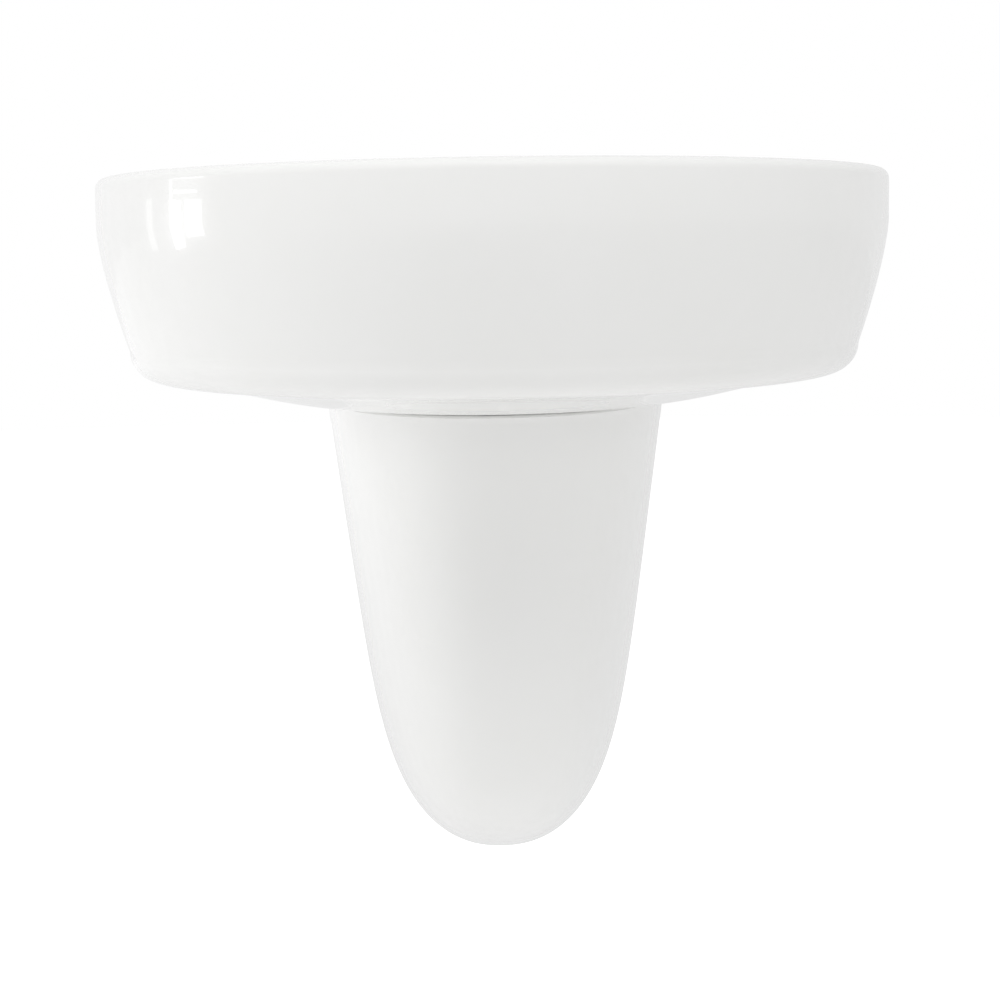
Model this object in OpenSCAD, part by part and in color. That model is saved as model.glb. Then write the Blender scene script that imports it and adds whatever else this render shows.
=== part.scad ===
// Wall-hung washbasin with a half pedestal, its waste, bottle trap and wall fixings.
// The origin is midway between the two wall bolts, on the wall. +X is right, +Y goes into the wall,
// +Z is up, so the room is at negative Y. All lengths are in millimetres.

/* [Basin] */
// Width across the rim
basin_w = 550; // [520:5:600]
// Depth from the wall to the front of the rim
basin_d = 450; // [430:5:490]
// Distance from the wall to the line where the front curve starts
widest_y = 88; // [70:2:110]
// Radius of the upright corners at the wall
corner_r = 6; // [3:1:12]
// Height of the rim over the wall bolts
bolt_drop = 60; // [54:1:66]
// Height of the outer wall, from the rim to the foot
skirt_h = 137; // [130:1:146]
// Radius of the rim's outer edge
rim_r = 7; // [4:1:9]
// Height of the upright band under the rim
rim_straight = 34; // [24:1:44]
// How far the outer wall draws in below that band
skirt_draft = 20; // [12:1:26]
// Radius of the foot, where the wall turns under
foot_r = 20; // [14:1:24]
// How far the underside bulges below the foot
belly_h = 15.5; // [12:0.5:19]
// Thickness of the china walls
china_t = 9; // [8:0.5:11]

/* [Bowl] */
// Width of the flat rim at the front and sides
rim_w = 30; // [26:1:36]
// Distance from the wall to the rear edge of the bowl
bowl_rear_y = 122; // [116:1:130]
// Distance from the wall to the middle of the bowl's opening
bowl_mid_y = 200; // [190:2:220]
// Depth of the bowl under the rim
bowl_depth = 130; // [120:1:134]
// Radius of the bowl's lip
lip_r = 8; // [5:1:10]
// Distance from the wall to the middle of the waste
waste_y = 198; // [190:1:205]
// Radius of the level floor round the waste
floor_r = 38; // [36:1:44]
// Drop of the overflow hole's middle under the rim
overflow_drop = 30; // [28:1:36]
// Radius of the overflow hole
overflow_r = 11; // [9:0.5:12]
// Radius of the overflow duct inside the china
duct_r = 6.5; // [5:0.5:7]

/* [Deck and rear opening] */
// Thickness of the tap deck and the rim
deck_t = 15; // [12:1:18]
// Radius of the tap hole
tap_hole_r = 17.5; // [16:0.5:18]
// Distance from the wall to the tap hole's middle
tap_y = 60; // [56:1:62]
// Thickness of the wall that the bolts go through
back_t = 12; // [10:1:14]
// Width over the two openings under the bolts
access_w = 430; // [400:5:440]
// Distance from the wall to the front of those openings
access_y = 122; // [110:1:126]

/* [Half pedestal] */
// Width at the top
ped_w = 248; // [236:2:260]
// Depth at the top
ped_d = 300; // [290:2:310]
// Height
ped_h = 341; // [330:1:360]
// Share of the width that is gone at the bottom
ped_taper = 0.36; // [0.3:0.01:0.4]
// Share of the depth that is gone at the bottom
ped_depth_taper = 0.2; // [0.1:0.01:0.3]
// Thickness of its wall
ped_t = 9; // [7:0.5:11]
// Thickness of the soft pads in the seam
pad_t = 1.5; // [1:0.5:3]
// Drop of the fixing lugs under the top
lug_drop = 50; // [40:1:60]
// Height of a fixing lug
lug_h = 30; // [26:1:36]
// Thickness of a fixing lug
lug_t = 10; // [8:1:12]

/* [Waste] */
// Radius of the waste's thread
waste_r = 21; // [20.5:0.1:21.5]
// Radius of the waste's bore
waste_bore_r = 18.5; // [17.5:0.1:18.8]
// Radius of the hole in the china
waste_hole_r = 23; // [22.6:0.1:24]
// Height of the boss round that hole, under the seat
boss_h = 14; // [10:1:18]
// Radius of that boss
boss_r = 38; // [35:1:42]
// Radius of the waste's flange
flange_r = 32; // [30:0.5:33]
// Thickness of that flange
flange_t = 3; // [2.5:0.5:4]
// Length of the waste
waste_len = 88; // [84:1:94]
// Radius of the plug's cap
cap_r = 27; // [25:0.5:28]
// Thickness of the cap at its middle
cap_t = 5; // [4:0.5:6]
// Radius of the plug's spindle
spindle_r = 3; // [2.5:0.1:3.5]
// Travel of the plug
plug_travel = 9; // [6:1:10]
// Thickness of the soft ring under the flange
top_seal_t = 2; // [1.5:0.5:3]
// Thickness of the cone washer under the boss
cone_seal_t = 6; // [4:1:8]
// Thickness of the flat washer under it
slip_washer_t = 2; // [1.5:0.5:3]
// Thickness of the ring nut
back_nut_t = 10; // [8:1:12]

/* [Trap] */
// Outer radius of the trap's tubes
tube_r = 16; // [15.5:0.5:16.5]
// Wall of those tubes
tube_t = 1.6; // [1.4:0.1:2]
// Thickness of the soft rings at the joints
joint_seal_t = 3; // [2:0.5:4]
// Thickness of the lip of each union nut
lip_t = 3.5; // [3:0.5:5]
// Wall of each union nut
nut_t = 5; // [4:0.5:6]
// Length of thread that a union nut covers
thread_l = 13; // [11:1:15]
// Free length of the inlet tube between its nuts
inlet_free = 20; // [16:1:26]
// Radius of the trap's head
head_r = 33; // [31:1:36]
// Height of the head
head_h = 42; // [40:1:46]
// Length of the head's outlet
stub_l = 24; // [22:1:28]
// Height of the cup
cup_h = 52; // [48:1:58]
// Wall of the head and the cup
cup_t = 3; // [2.5:0.5:4]
// Length of tube that enters the wall
wall_reach = 44; // [35:1:50]
// Radius of the cover plate at the wall
rosette_r = 38; // [34:1:44]
// Thickness of the cover plate
rosette_t = 10; // [8:1:14]

/* [Fixings] */
// Distance between the basin's bolts
bolt_spacing = 280; // [260:5:300]
// Radius of those bolts in the wall
bolt_r = 5; // [4.5:0.5:6]
// Length of those bolts in the wall
bolt_reach = 45; // [35:1:50]
// Radius of the bolt holes in the china
bolt_hole_r = 8; // [7.5:0.5:9]
// Distance between the half pedestal's studs
stud_spacing = 170; // [164:1:176]
// Radius of those studs in the wall
stud_r = 4; // [3.5:0.5:4.5]
// Length of those studs in the wall
stud_reach = 40; // [30:1:48]
// Radius of the holes in the lugs
lug_hole_r = 5.5; // [5:0.5:6]
// Thickness of the flange of each plastic bush
bush_flange_t = 3; // [2:0.5:4]
// Thickness of each steel washer
washer_t = 2; // [1.5:0.5:2.5]

/* [Hidden] */
$fn = 64;

// Clearances: between a moving piece and its seat, between a tube and its nut, between threads
run_gap = 0.3;
seal_gap = 0.4;
slip_gap = 0.35;
thread_gap = 0.15;
// How far a cutting shape runs past the face that it opens, and a joined one into its neighbour
cut_over = 2;
join = 3;

// Colours
china_c = "#f4f4f2";
chrome_c = "#d6d8da";
rubber_c = "#3a3a3c";
white_plastic_c = "#ececea";
steel_c = "#b9bcc0";

// Levels of the basin
rim_z = bolt_drop;
skirt_z = rim_z - skirt_h;
seat_z = skirt_z - belly_h;
floor_z = rim_z - bowl_depth;
recess_z = floor_z - flange_t - top_seal_t;
boss_z = seat_z - boss_h;
overflow_z = rim_z - overflow_drop;
roof_z = rim_z - deck_t;

// Loops of the basin: points on the front curve, steps of its other stretches
ARC_STEPS = 42;
SIDE_STEPS = 3;
BACK_STEPS = 4;
BOWL_STEPS = 10;
DRY_STEPS = 7;
draft_power = 1.4;
corner_power = 4;
bowl_power = 2.3;
seat_widest_y = 0.6 * widest_y;
seat_side = 14;
seat_front = 5;
seat_margin = 6;
access_over = 6;
flange_gap = 1.5;
mouth_edge = 4;
lip_back = 3;

// Overflow duct: it falls beside the bowl, then runs forward into the waste hole
duct_off = 15;
duct_y = bowl_rear_y - duct_off;
duct_elbow_drop = 4;
duct_elbow_z = floor_z - duct_elbow_drop;
duct_end_z = (recess_z + boss_z) / 2;
duct_wall = 6;
duct_step = 0.5;
overflow_lip = 4;
overflow_seat_r = overflow_r + overflow_lip;
overflow_flange_t = 2;
overflow_reach = 20;

// Levels of the half pedestal
PED_STEPS = 24;
PED_ARC = 36;
ped_power = 2.3;
ped_width_power = 7.6;
ped_depth_power = 5;
ped_top_z = seat_z - pad_t;
ped_floor_t = ped_t + 1;
lug_z = ped_top_z - lug_drop;
lug_back = 2;
lug_inner = 17;
lug_inner_x = stud_spacing / 2 - lug_inner;

// Levels of the waste
tail_z = floor_z - waste_len;
dish_r = flange_r - 3;
dish_d = flange_t - 0.8;
spider_z = tail_z + 48;
spider_t = 10;
spider_r = 8.6;
cartridge_r = 7;
cartridge_l = 2 * plug_travel + 8;
cartridge_rim = 2;
slot_w = 13;
slot_h = 16;
cap_z = floor_z + 0.2;
seal_in_r = waste_bore_r - 1;
seal_out_r = cap_r - 3;
cone_seal_z = boss_z - cone_seal_t;
slip_washer_z = cone_seal_z - slip_washer_t;
back_nut_z = slip_washer_z - back_nut_t;

// Levels of the trap
tube_in_r = tube_r - tube_t;
inlet_seal_z = tail_z - joint_seal_t;
collar_t = 4;
collar_r = waste_r - 1;
neck_z = inlet_seal_z - collar_t - inlet_free;
neck_l = thread_l + 3;
head_z = neck_z - neck_l - head_h;
outlet_z = head_z + waste_r + 1;
spigot_l = 12;
cup_top_gap = 0.3;
cup_seat_z = head_z - spigot_l - 2;
cup_z = head_z - cup_h;
dip_z = cup_z + cup_t + 18;
chamber_r = head_r - cup_t - 4;
spigot_r = head_r - cup_t - 0.3;
stub_y = head_r + stub_l - waste_y;
tube_entry = 16;
tube_start_y = stub_y - tube_entry;
bead_l = 2;

// Bolts of the basin and studs of the half pedestal: room-side lengths of their stacks
bolt_nut_t = 8;
bolt_nut_w = 17;
stud_nut_t = 6.5;
stud_nut_w = 13;
thread_past = 6;
lug_face = lug_back + lug_t;
bolt_stack = back_t + bush_flange_t + washer_t;
stud_stack = lug_face + bush_flange_t + washer_t;

// Inset of the basin's outer wall from the rim's outline, at height z
foot_top_z = skirt_z + foot_r;
band_z = rim_z - rim_straight;
function wall_inset(z) =
    z >= band_z ? 0 :
    z >= foot_top_z ? skirt_draft * pow((band_z - z) / (band_z - foot_top_z), draft_power) :
    skirt_draft + foot_r - sqrt(max(0, pow(foot_r, 2) - pow(foot_top_z - z, 2)));

// D outline, clockwise from above: wall corner, side, front curve, side, wall corner, back
function d_ring(half, front, widest, back, z) =
    let (side = widest - back - corner_r)
    [
        for (b = [0:45:90]) [half - corner_r * (1 - sin(b)), -back - corner_r * (1 - cos(b)), z],
        for (k = [1:SIDE_STEPS]) [half, -back - corner_r - side * k / (SIDE_STEPS + 1), z],
        for (k = [0:ARC_STEPS]) let (a = 180 * k / ARC_STEPS)
            [half * cos(a), -widest - (front - widest) * sin(a), z],
        for (k = [SIDE_STEPS:-1:1]) [-half, -back - corner_r - side * k / (SIDE_STEPS + 1), z],
        for (b = [90:-45:0]) [-half + corner_r * (1 - sin(b)), -back - corner_r * (1 - cos(b)), z],
        for (k = [1:BACK_STEPS]) [(half - corner_r) * (2 * k / (BACK_STEPS + 1) - 1), -back, z]
    ];
function wall_ring(z, inset) = d_ring(basin_w / 2 - inset, basin_d - inset, widest_y, 0, z);
function inner_ring(z, inset) = d_ring(basin_w / 2 - inset, basin_d - inset, widest_y, back_t, z);

// Direction from the bowl's middle to each point of the rim's outline
rim_outline = wall_ring(rim_z, 0);
RING = len(rim_outline);
FRONT = 3 + SIDE_STEPS + ARC_STEPS / 2;
function turn_of(i) = atan2(rim_outline[i].y + bowl_mid_y, rim_outline[i].x);

// Edge of the bowl in that direction: it keeps off the rim's outline and rounds into a rear line
function bowl_edge(i, grow) =
    let (t = turn_of(i),
         to_rim = norm([rim_outline[i].x, rim_outline[i].y + bowl_mid_y]) - rim_w + grow,
         to_rear = max(0, sin(t)) / (bowl_mid_y - bowl_rear_y + grow),
         r = pow(pow(to_rim, -corner_power) + pow(to_rear, corner_power), -1 / corner_power))
    [r * cos(t), r * sin(t) - bowl_mid_y];

// Ring of the bowl's surface at angle a: 0 is under the lip, 90 is the floor round the waste
function bowl_drop(a, grow) = (bowl_depth - lip_r + grow) * pow(sin(a), 2 / bowl_power);
function bowl_point(i, a, grow) =
    let (edge = bowl_edge(i, grow) + [0, waste_y],
         reach = norm(edge),
         share = pow(cos(a), 2 / bowl_power),
         r = (floor_r + grow) * (1 - share) + reach * share)
    [edge.x / reach * r, edge.y / reach * r - waste_y, rim_z - lip_r - bowl_drop(a, grow)];
function bowl_turn(z, grow) =
    asin(pow((rim_z - lip_r - z) / (bowl_depth - lip_r + grow), bowl_power / 2));
function bowl_ring(a) = [for (i = [0:RING - 1]) bowl_point(i, a, 0)];
function lip_ring(a) = [
    for (i = [0:RING - 1]) let (p = bowl_edge(i, lip_r * (1 - cos(a))))
        [p.x, p.y, rim_z - lip_r * (1 - sin(a))]
];

function mix_rings(one, two, share, z) = [
    for (i = [0:RING - 1]) let (p = one[i] * (1 - share) + two[i] * share) [p.x, p.y, z]
];
function ease(s) = s * s * (3 - 2 * s);

foot_ring = wall_ring(skirt_z, skirt_draft + foot_r);
seat_ring = d_ring(ped_w / 2 + seat_side, ped_d + seat_front, seat_widest_y, 0, seat_z);
function mouth_ring(z) =
    let (inset = ped_t + mouth_edge)
    d_ring(ped_w / 2 - inset, ped_d - inset, seat_widest_y, back_t, z);
foot_in_r = foot_r - china_t;
foot_in_ring = inner_ring(skirt_z + china_t, skirt_draft + foot_r);

// The whole skin: bowl, lip, rim, outer wall, foot, underside, then the inside up to the dry bowl
basin_rings = [
    for (k = [BOWL_STEPS:-1:0]) bowl_ring(90 * k / BOWL_STEPS),
    for (a = [30:30:90]) lip_ring(a),
    for (a = [0:30:90]) wall_ring(rim_z - rim_r * (1 - cos(a)), rim_r * (1 - sin(a))),
    for (k = [0:5]) let (z = band_z + (foot_top_z - band_z) * k / 5) wall_ring(z, wall_inset(z)),
    for (a = [18:18:72]) let (z = foot_top_z - foot_r * sin(a)) wall_ring(z, wall_inset(z)),
    foot_ring,
    for (k = [1:6]) mix_rings(foot_ring, seat_ring, k / 6, skirt_z - belly_h * ease(k / 6)),
    mouth_ring(seat_z),
    mouth_ring(seat_z + china_t),
    for (k = [1:3]) mix_rings(mouth_ring(0), foot_in_ring, k / 4, seat_z + china_t + belly_h * ease(k / 4)),
    for (a = [90:-30:0])
        inner_ring(foot_top_z - foot_in_r * sin(a), skirt_draft + foot_r - foot_in_r * cos(a)),
    for (z = [(foot_top_z + band_z) / 2, band_z, roof_z]) inner_ring(z, wall_inset(z) + china_t),
    for (k = [0:DRY_STEPS]) let (a = bowl_turn(roof_z, china_t))
        [for (i = [0:RING - 1]) bowl_point(i, a + (90 - a) * k / DRY_STEPS, china_t)]
];

// Solid skinned over rings of equal length, each clockwise from above where the skin goes down
module skin(rings) {
    n = len(rings[0]);
    last = len(rings) - 1;
    bands = [
        for (k = [0:last - 1]) for (i = [0:n - 1]) let (j = (i + 1) % n, a = k * n, b = a + n)
            each [[a + i, b + i, b + j], [a + i, b + j, a + j]]
    ];
    caps = [[for (i = [0:n - 1]) (i + FRONT) % n], [for (i = [n:-1:1]) last * n + (i + FRONT) % n]];
    polyhedron([for (r = rings) each r], concat(bands, caps), convexity = 10);
}

// Round bar between two points of the plane x = 0, each given as [y, z]
module duct(from, to, r) {
    run = to - from;
    translate([0, from.x, from.y])
        rotate([-atan2(run.x, run.y), 0, 0])
            cylinder(r = r, h = norm(run));
}

module along_y(y) {
    translate([0, y, 0])
        rotate([-90, 0, 0])
            children();
}

module both_sides(spacing, z) {
    for (side = [-1, 1])
        translate([side * spacing / 2, 0, z])
            children();
}

module ring(out_r, in_r, h) {
    difference() {
        cylinder(r = out_r, h = h);
        translate([0, 0, -1])
            cylinder(r = in_r, h = h + 2);
    }
}

module hex_nut(flats, in_r, h) {
    difference() {
        cylinder(r = flats / sqrt(3), h = h, $fn = 6);
        translate([0, 0, -1])
            cylinder(r = in_r, h = h + 2);
    }
}

// Flanged bush: its flange lies on z = 0 and its sleeve points down
module flanged_bush(flange, out_r, in_r, sleeve) {
    difference() {
        union() {
            cylinder(r = flange, h = bush_flange_t);
            translate([0, 0, -sleeve])
                cylinder(r = out_r, h = sleeve + 1);
        }
        translate([0, 0, -sleeve - 1])
            cylinder(r = in_r, h = sleeve + bush_flange_t + 2);
    }
}

// Union nut: its lip closes in on a tube at z = 0 and its thread opens upwards
module union_nut(thread, inner, depth) {
    out_r = thread + nut_t;
    difference() {
        union() {
            cylinder(r = out_r, h = lip_t + depth);
            for (k = [0:15])
                rotate(22.5 * k)
                    translate([out_r - 1, -1.2, 2])
                        cube([2.2, 2.4, lip_t + depth - 4]);
        }
        translate([0, 0, -1])
            cylinder(r = inner, h = lip_t + 2);
        translate([0, 0, lip_t])
            cylinder(r = thread + thread_gap, h = depth + 1);
    }
}

// Openings beside the seat, for a hand at the bolts
module rear_openings() {
    inner_x = ped_w / 2 + seat_side + seat_margin;
    for (x = [-access_w / 2, inner_x])
        translate([x, -access_y, seat_z - cut_over])
            cube([access_w / 2 - inner_x, access_y - back_t - lip_back,
                skirt_z + china_t + access_over - seat_z + cut_over]);
}

// The overflow falls beside the bowl, then runs forward to the waste: its china, or its bore
module overflow_duct(r, head_z) {
    duct([-duct_y, duct_elbow_z - r / 2], [-duct_y, head_z], r);
    duct([-duct_y + r / 2, duct_elbow_z], [-waste_y, duct_end_z], r - duct_step);
}

module overflow_hole() {
    along_y(-bowl_rear_y - overflow_reach)
        translate([0, -overflow_z, 0]) {
            cylinder(r = overflow_seat_r, h = overflow_reach);
            cylinder(r = overflow_r, h = overflow_reach + duct_off + cut_over);
        }
}

module basin() {
    color(china_c)
        difference() {
            union() {
                skin(basin_rings);
                overflow_duct(duct_r + duct_wall, roof_z + join);
                translate([0, -waste_y, boss_z])
                    cylinder(r = boss_r, h = floor_z - china_t + join - boss_z);
            }
            rear_openings();
            overflow_duct(duct_r, overflow_z);
            overflow_hole();
            translate([0, -waste_y, boss_z - cut_over])
                cylinder(r = waste_hole_r, h = floor_z - boss_z + 2 * cut_over);
            translate([0, -waste_y, recess_z])
                cylinder(r = flange_r + flange_gap, h = floor_z - recess_z + cut_over);
            translate([0, -tap_y, roof_z - cut_over])
                cylinder(r = tap_hole_r, h = deck_t + 2 * cut_over);
            both_sides(bolt_spacing, 0)
                along_y(-back_t - cut_over)
                    cylinder(r = bolt_hole_r, h = back_t + 2 * cut_over);
        }
}

// Half width and depth of the half pedestal at a share of its height, its outside or its inside
function ped_half(s, t) =
    let (top = ped_w / 2 - t, low = ped_w / 2 * (1 - ped_taper) - t)
    (top + (low - top) * s) * sqrt(1 - pow(s, ped_width_power));
function ped_deep(s, t) =
    let (top = ped_d - t, low = ped_d * (1 - ped_depth_taper) - t)
    (top + (low - top) * s) * sqrt(1 - pow(s, ped_depth_power));
function ped_curve(half, deep, a) = [
    half * sign(cos(a)) * pow(abs(cos(a)), 2 / ped_power),
    -deep * pow(sin(a), 2 / ped_power)
];
function ped_row(s, t, h) = [
    for (k = [0:PED_ARC]) let (p = ped_curve(ped_half(s, t), ped_deep(s, t), 180 * k / PED_ARC))
        [p.x, p.y, ped_top_z - h * s]
];
function ped_share(k) = 1 - pow(1 - k / PED_STEPS, 1.6);

// U-shaped shell: each ring runs round the outside and back along the inside
module pedestal_shell() {
    n = PED_ARC + 1;
    rows = [
        for (k = [0:PED_STEPS - 1]) let (inner = ped_row(ped_share(k), ped_t, ped_h - ped_floor_t))
            concat(ped_row(ped_share(k), 0, ped_h), [for (i = [PED_ARC:-1:0]) inner[i]])
    ];
    last = (PED_STEPS - 1) * 2 * n;
    out_tip = last + 2 * n;
    in_tip = out_tip + 1;
    bands = [
        for (k = [0:PED_STEPS - 2]) for (i = [0:2 * n - 1])
            let (j = (i + 1) % (2 * n), a = k * 2 * n, b = a + 2 * n)
            each [[a + i, b + i, b + j], [a + i, b + j, a + j]]
    ];
    top = [
        for (i = [0:PED_ARC - 1]) let (p = 2 * n - 1 - i)
            each [[i, i + 1, p - 1], [i, p - 1, p]]
    ];
    outside = [for (i = [0:PED_ARC - 1]) [last + i, out_tip, last + i + 1]];
    inside = [for (i = [n:2 * n - 2]) [last + i, in_tip, last + i + 1]];
    edges = [
        [last + n - 1, out_tip, in_tip], [last + n - 1, in_tip, last + n],
        [last + 2 * n - 1, in_tip, out_tip], [last + 2 * n - 1, out_tip, last]
    ];
    tips = [[0, 0, ped_top_z - ped_h], [0, 0, ped_top_z - ped_h + ped_floor_t]];
    polyhedron([for (r = concat(rows, [tips])) each r], concat(bands, top, outside, inside, edges),
        convexity = 10);
}

module half_pedestal() {
    lug_low = (lug_drop + lug_h / 2) / ped_h;
    lug_outer_x = ped_half(lug_low, 0) - join;
    color(china_c)
        difference() {
            union() {
                pedestal_shell();
                for (side = [-1, 1])
                    translate([side * (lug_inner_x + lug_outer_x) / 2, -lug_back - lug_t / 2, lug_z])
                        cube([lug_outer_x - lug_inner_x, lug_t, lug_h], center = true);
            }
            both_sides(stud_spacing, lug_z)
                along_y(-lug_face - cut_over)
                    cylinder(r = lug_hole_r, h = lug_t + 2 * cut_over);
        }
}

module pedestal_top_pads() {
    mid = ped_t / 2;
    color(rubber_c)
        for (a = [42, 90, 138]) {
            p = ped_curve(ped_half(0, mid), ped_deep(0, mid), a);
            q = ped_curve(ped_half(0, mid), ped_deep(0, mid), a + 1);
            translate([p.x, p.y, ped_top_z + pad_t / 2])
                rotate(atan2(q.y - p.y, q.x - p.x))
                    cube([20, ped_t - 3, pad_t], center = true);
        }
}

module overflow_ring() {
    color(chrome_c)
        translate([0, -bowl_rear_y, overflow_z])
            rotate([90, 0, 0])
                difference() {
                    union() {
                        cylinder(r = overflow_seat_r - 0.5, h = overflow_flange_t);
                        translate([0, 0, -9])
                            cylinder(r = overflow_r - run_gap, h = 10);
                    }
                    translate([0, 0, -10])
                        cylinder(r = overflow_r - 2, h = 20);
                }
}

// Height of the flange's dish at radius r
function dish_z(r) = floor_z - dish_d * (dish_r - r) / (dish_r - waste_bore_r);

module at_waste() {
    translate([0, -waste_y, 0])
        children();
}

module waste_body() {
    color(chrome_c)
        at_waste()
            difference() {
                union() {
                    rotate_extrude()
                        polygon([
                            [waste_bore_r, tail_z],
                            [waste_r, tail_z],
                            [waste_r, floor_z - flange_t],
                            [flange_r, floor_z - flange_t],
                            [flange_r, floor_z - 0.8],
                            [flange_r - 0.8, floor_z],
                            [dish_r, floor_z],
                            [waste_bore_r, dish_z(waste_bore_r)]
                        ]);
                    translate([0, 0, spider_z])
                        cylinder(r = spider_r, h = spider_t);
                    for (turn = [0, 90])
                        rotate(turn)
                            translate([-waste_bore_r - 1, -1.5, spider_z])
                                cube([2 * waste_bore_r + 2, 3, spider_t]);
                }
                translate([0, 0, spider_z - 1])
                    cylinder(r = cartridge_r + thread_gap, h = spider_t + 2);
                for (turn = [45, 135])
                    rotate(turn)
                        translate([-waste_r - 2, -slot_w / 2, duct_end_z - slot_h / 2])
                            cube([2 * waste_r + 4, slot_w, slot_h]);
            }
}

module click_cartridge() {
    top = spider_z + spider_t;
    color(white_plastic_c)
        at_waste()
            difference() {
                union() {
                    translate([0, 0, top + cartridge_rim - cartridge_l])
                        cylinder(r = cartridge_r, h = cartridge_l);
                    translate([0, 0, top])
                        cylinder(r = spider_r, h = cartridge_rim);
                }
                translate([0, 0, top + cartridge_rim - cartridge_l + 3])
                    cylinder(r = spindle_r + run_gap, h = cartridge_l);
            }
}

module plug_cap() {
    color(chrome_c)
        at_waste()
            rotate_extrude()
                polygon([
                    [0, cap_z],
                    [cap_r - 0.6, cap_z],
                    [cap_r, cap_z + 0.6],
                    for (k = [0:8]) let (r = cap_r * (1 - k / 8))
                        [r, cap_z + 1.6 + (cap_t - 1.6) * (1 - pow(r / cap_r, 2))]
                ]);
}

module plug_seal() {
    color(rubber_c)
        at_waste()
            rotate_extrude()
                polygon([
                    [seal_in_r, cap_z],
                    [seal_in_r, dish_z(waste_bore_r) + seal_gap],
                    [seal_out_r, dish_z(seal_out_r) + seal_gap],
                    [seal_out_r, cap_z]
                ]);
}

module plug_spindle() {
    foot = spider_z + spider_t + cartridge_rim - cartridge_l + 5;
    color(steel_c)
        at_waste()
            rotate_extrude()
                polygon([
                    [0, foot],
                    [spindle_r - 0.6, foot],
                    [spindle_r, foot + 0.6],
                    [spindle_r, cap_z - 3],
                    [seal_in_r, cap_z - 3],
                    [seal_in_r, cap_z],
                    [0, cap_z]
                ]);
}

module waste_top_seal() {
    color(rubber_c)
        at_waste()
            translate([0, 0, recess_z])
                ring(flange_r - 1, waste_r + run_gap, top_seal_t);
}

module waste_cone_seal() {
    color(rubber_c)
        at_waste()
            rotate_extrude()
                polygon([
                    [waste_r + thread_gap, cone_seal_z],
                    [boss_r - 6, cone_seal_z],
                    [boss_r - 4, boss_z],
                    [waste_hole_r - run_gap, boss_z],
                    [waste_hole_r - run_gap, boss_z + 2],
                    [waste_r + thread_gap, boss_z + 4]
                ]);
}

module waste_slip_washer() {
    color(white_plastic_c)
        at_waste()
            translate([0, 0, slip_washer_z])
                ring(boss_r - 5, waste_r + thread_gap, slip_washer_t);
}

module waste_back_nut() {
    color(chrome_c)
        at_waste()
            translate([0, 0, back_nut_z]) {
                difference() {
                    union() {
                        cylinder(r = boss_r - 8, h = back_nut_t);
                        for (k = [0:5])
                            rotate(60 * k)
                                translate([boss_r - 9, -4, 0])
                                    cube([5, 8, back_nut_t]);
                    }
                    translate([0, 0, -1])
                        cylinder(r = waste_r + thread_gap, h = back_nut_t + 2);
                }
            }
}

module trap_inlet_seal() {
    color(rubber_c)
        at_waste()
            translate([0, 0, inlet_seal_z])
                ring(waste_r - 0.5, waste_bore_r - 2, joint_seal_t);
}

module trap_coupling_nut() {
    color(white_plastic_c)
        at_waste()
            translate([0, 0, inlet_seal_z - collar_t - lip_t])
                union_nut(waste_r, tube_r + slip_gap, collar_t + joint_seal_t + thread_l);
}

module trap_inlet_pipe() {
    color(white_plastic_c)
        at_waste()
            difference() {
                union() {
                    translate([0, 0, dip_z])
                        cylinder(r = tube_r, h = inlet_seal_z - dip_z);
                    translate([0, 0, inlet_seal_z - collar_t])
                        cylinder(r = collar_r, h = collar_t);
                }
                translate([0, 0, dip_z - 1])
                    cylinder(r = tube_in_r, h = inlet_seal_z - dip_z + 2);
            }
}

module trap_slip_nut() {
    color(white_plastic_c)
        at_waste()
            translate([0, 0, neck_z + joint_seal_t + lip_t])
                rotate([180, 0, 0])
                    union_nut(waste_r, tube_r + slip_gap, joint_seal_t + thread_l);
}

module trap_slip_seal() {
    color(rubber_c)
        at_waste()
            translate([0, 0, neck_z])
                ring(waste_r - 0.5, tube_r + thread_gap, joint_seal_t);
}

module trap_head() {
    color(white_plastic_c)
        at_waste()
            difference() {
                union() {
                    translate([0, 0, neck_z - neck_l])
                        cylinder(r = waste_r, h = neck_l);
                    translate([0, 0, head_z])
                        cylinder(r = head_r, h = head_h);
                    translate([0, 0, head_z - spigot_l])
                        cylinder(r = spigot_r, h = spigot_l + 1);
                    translate([0, 0, outlet_z])
                        along_y(0)
                            cylinder(r = waste_r, h = head_r + stub_l);
                }
                translate([0, 0, head_z - spigot_l - 1])
                    cylinder(r = chamber_r, h = spigot_l + head_h - cup_t);
                translate([0, 0, outlet_z])
                    along_y(chamber_r - 6)
                        cylinder(r = tube_in_r, h = head_r + stub_l);
                translate([0, 0, outlet_z])
                    along_y(head_r + stub_l - tube_entry)
                        cylinder(r = tube_r + slip_gap, h = tube_entry + cut_over);
                translate([0, 0, head_z])
                    cylinder(r = tube_r + slip_gap, h = neck_z - head_z + 1);
            }
}

module trap_cup() {
    color(white_plastic_c)
        at_waste()
            difference() {
                rotate_extrude()
                    polygon([
                        [0, cup_z],
                        [head_r - 12, cup_z],
                        for (a = [0:15:90]) [head_r - 12 + 8 * sin(a), cup_z + 8 * (1 - cos(a))],
                        [head_r - 4, cup_seat_z - 8],
                        [head_r, cup_seat_z - 4],
                        [head_r, head_z - cup_top_gap],
                        [spigot_r + thread_gap, head_z - cup_top_gap],
                        [spigot_r + thread_gap, cup_seat_z],
                        [chamber_r, cup_seat_z],
                        [chamber_r, cup_seat_z - 4],
                        [head_r - 4 - cup_t, cup_seat_z - 8],
                        for (a = [90:-15:0])
                            [head_r - 12 + (8 - cup_t) * sin(a), cup_z + 8 - (8 - cup_t) * cos(a)],
                        [0, cup_z + cup_t]
                    ]);
                for (k = [0:11])
                    rotate(30 * k + 15)
                        translate([head_r + 0.6, 0, cup_seat_z])
                            cylinder(r = 1.6, h = 40);
            }
}

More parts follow.
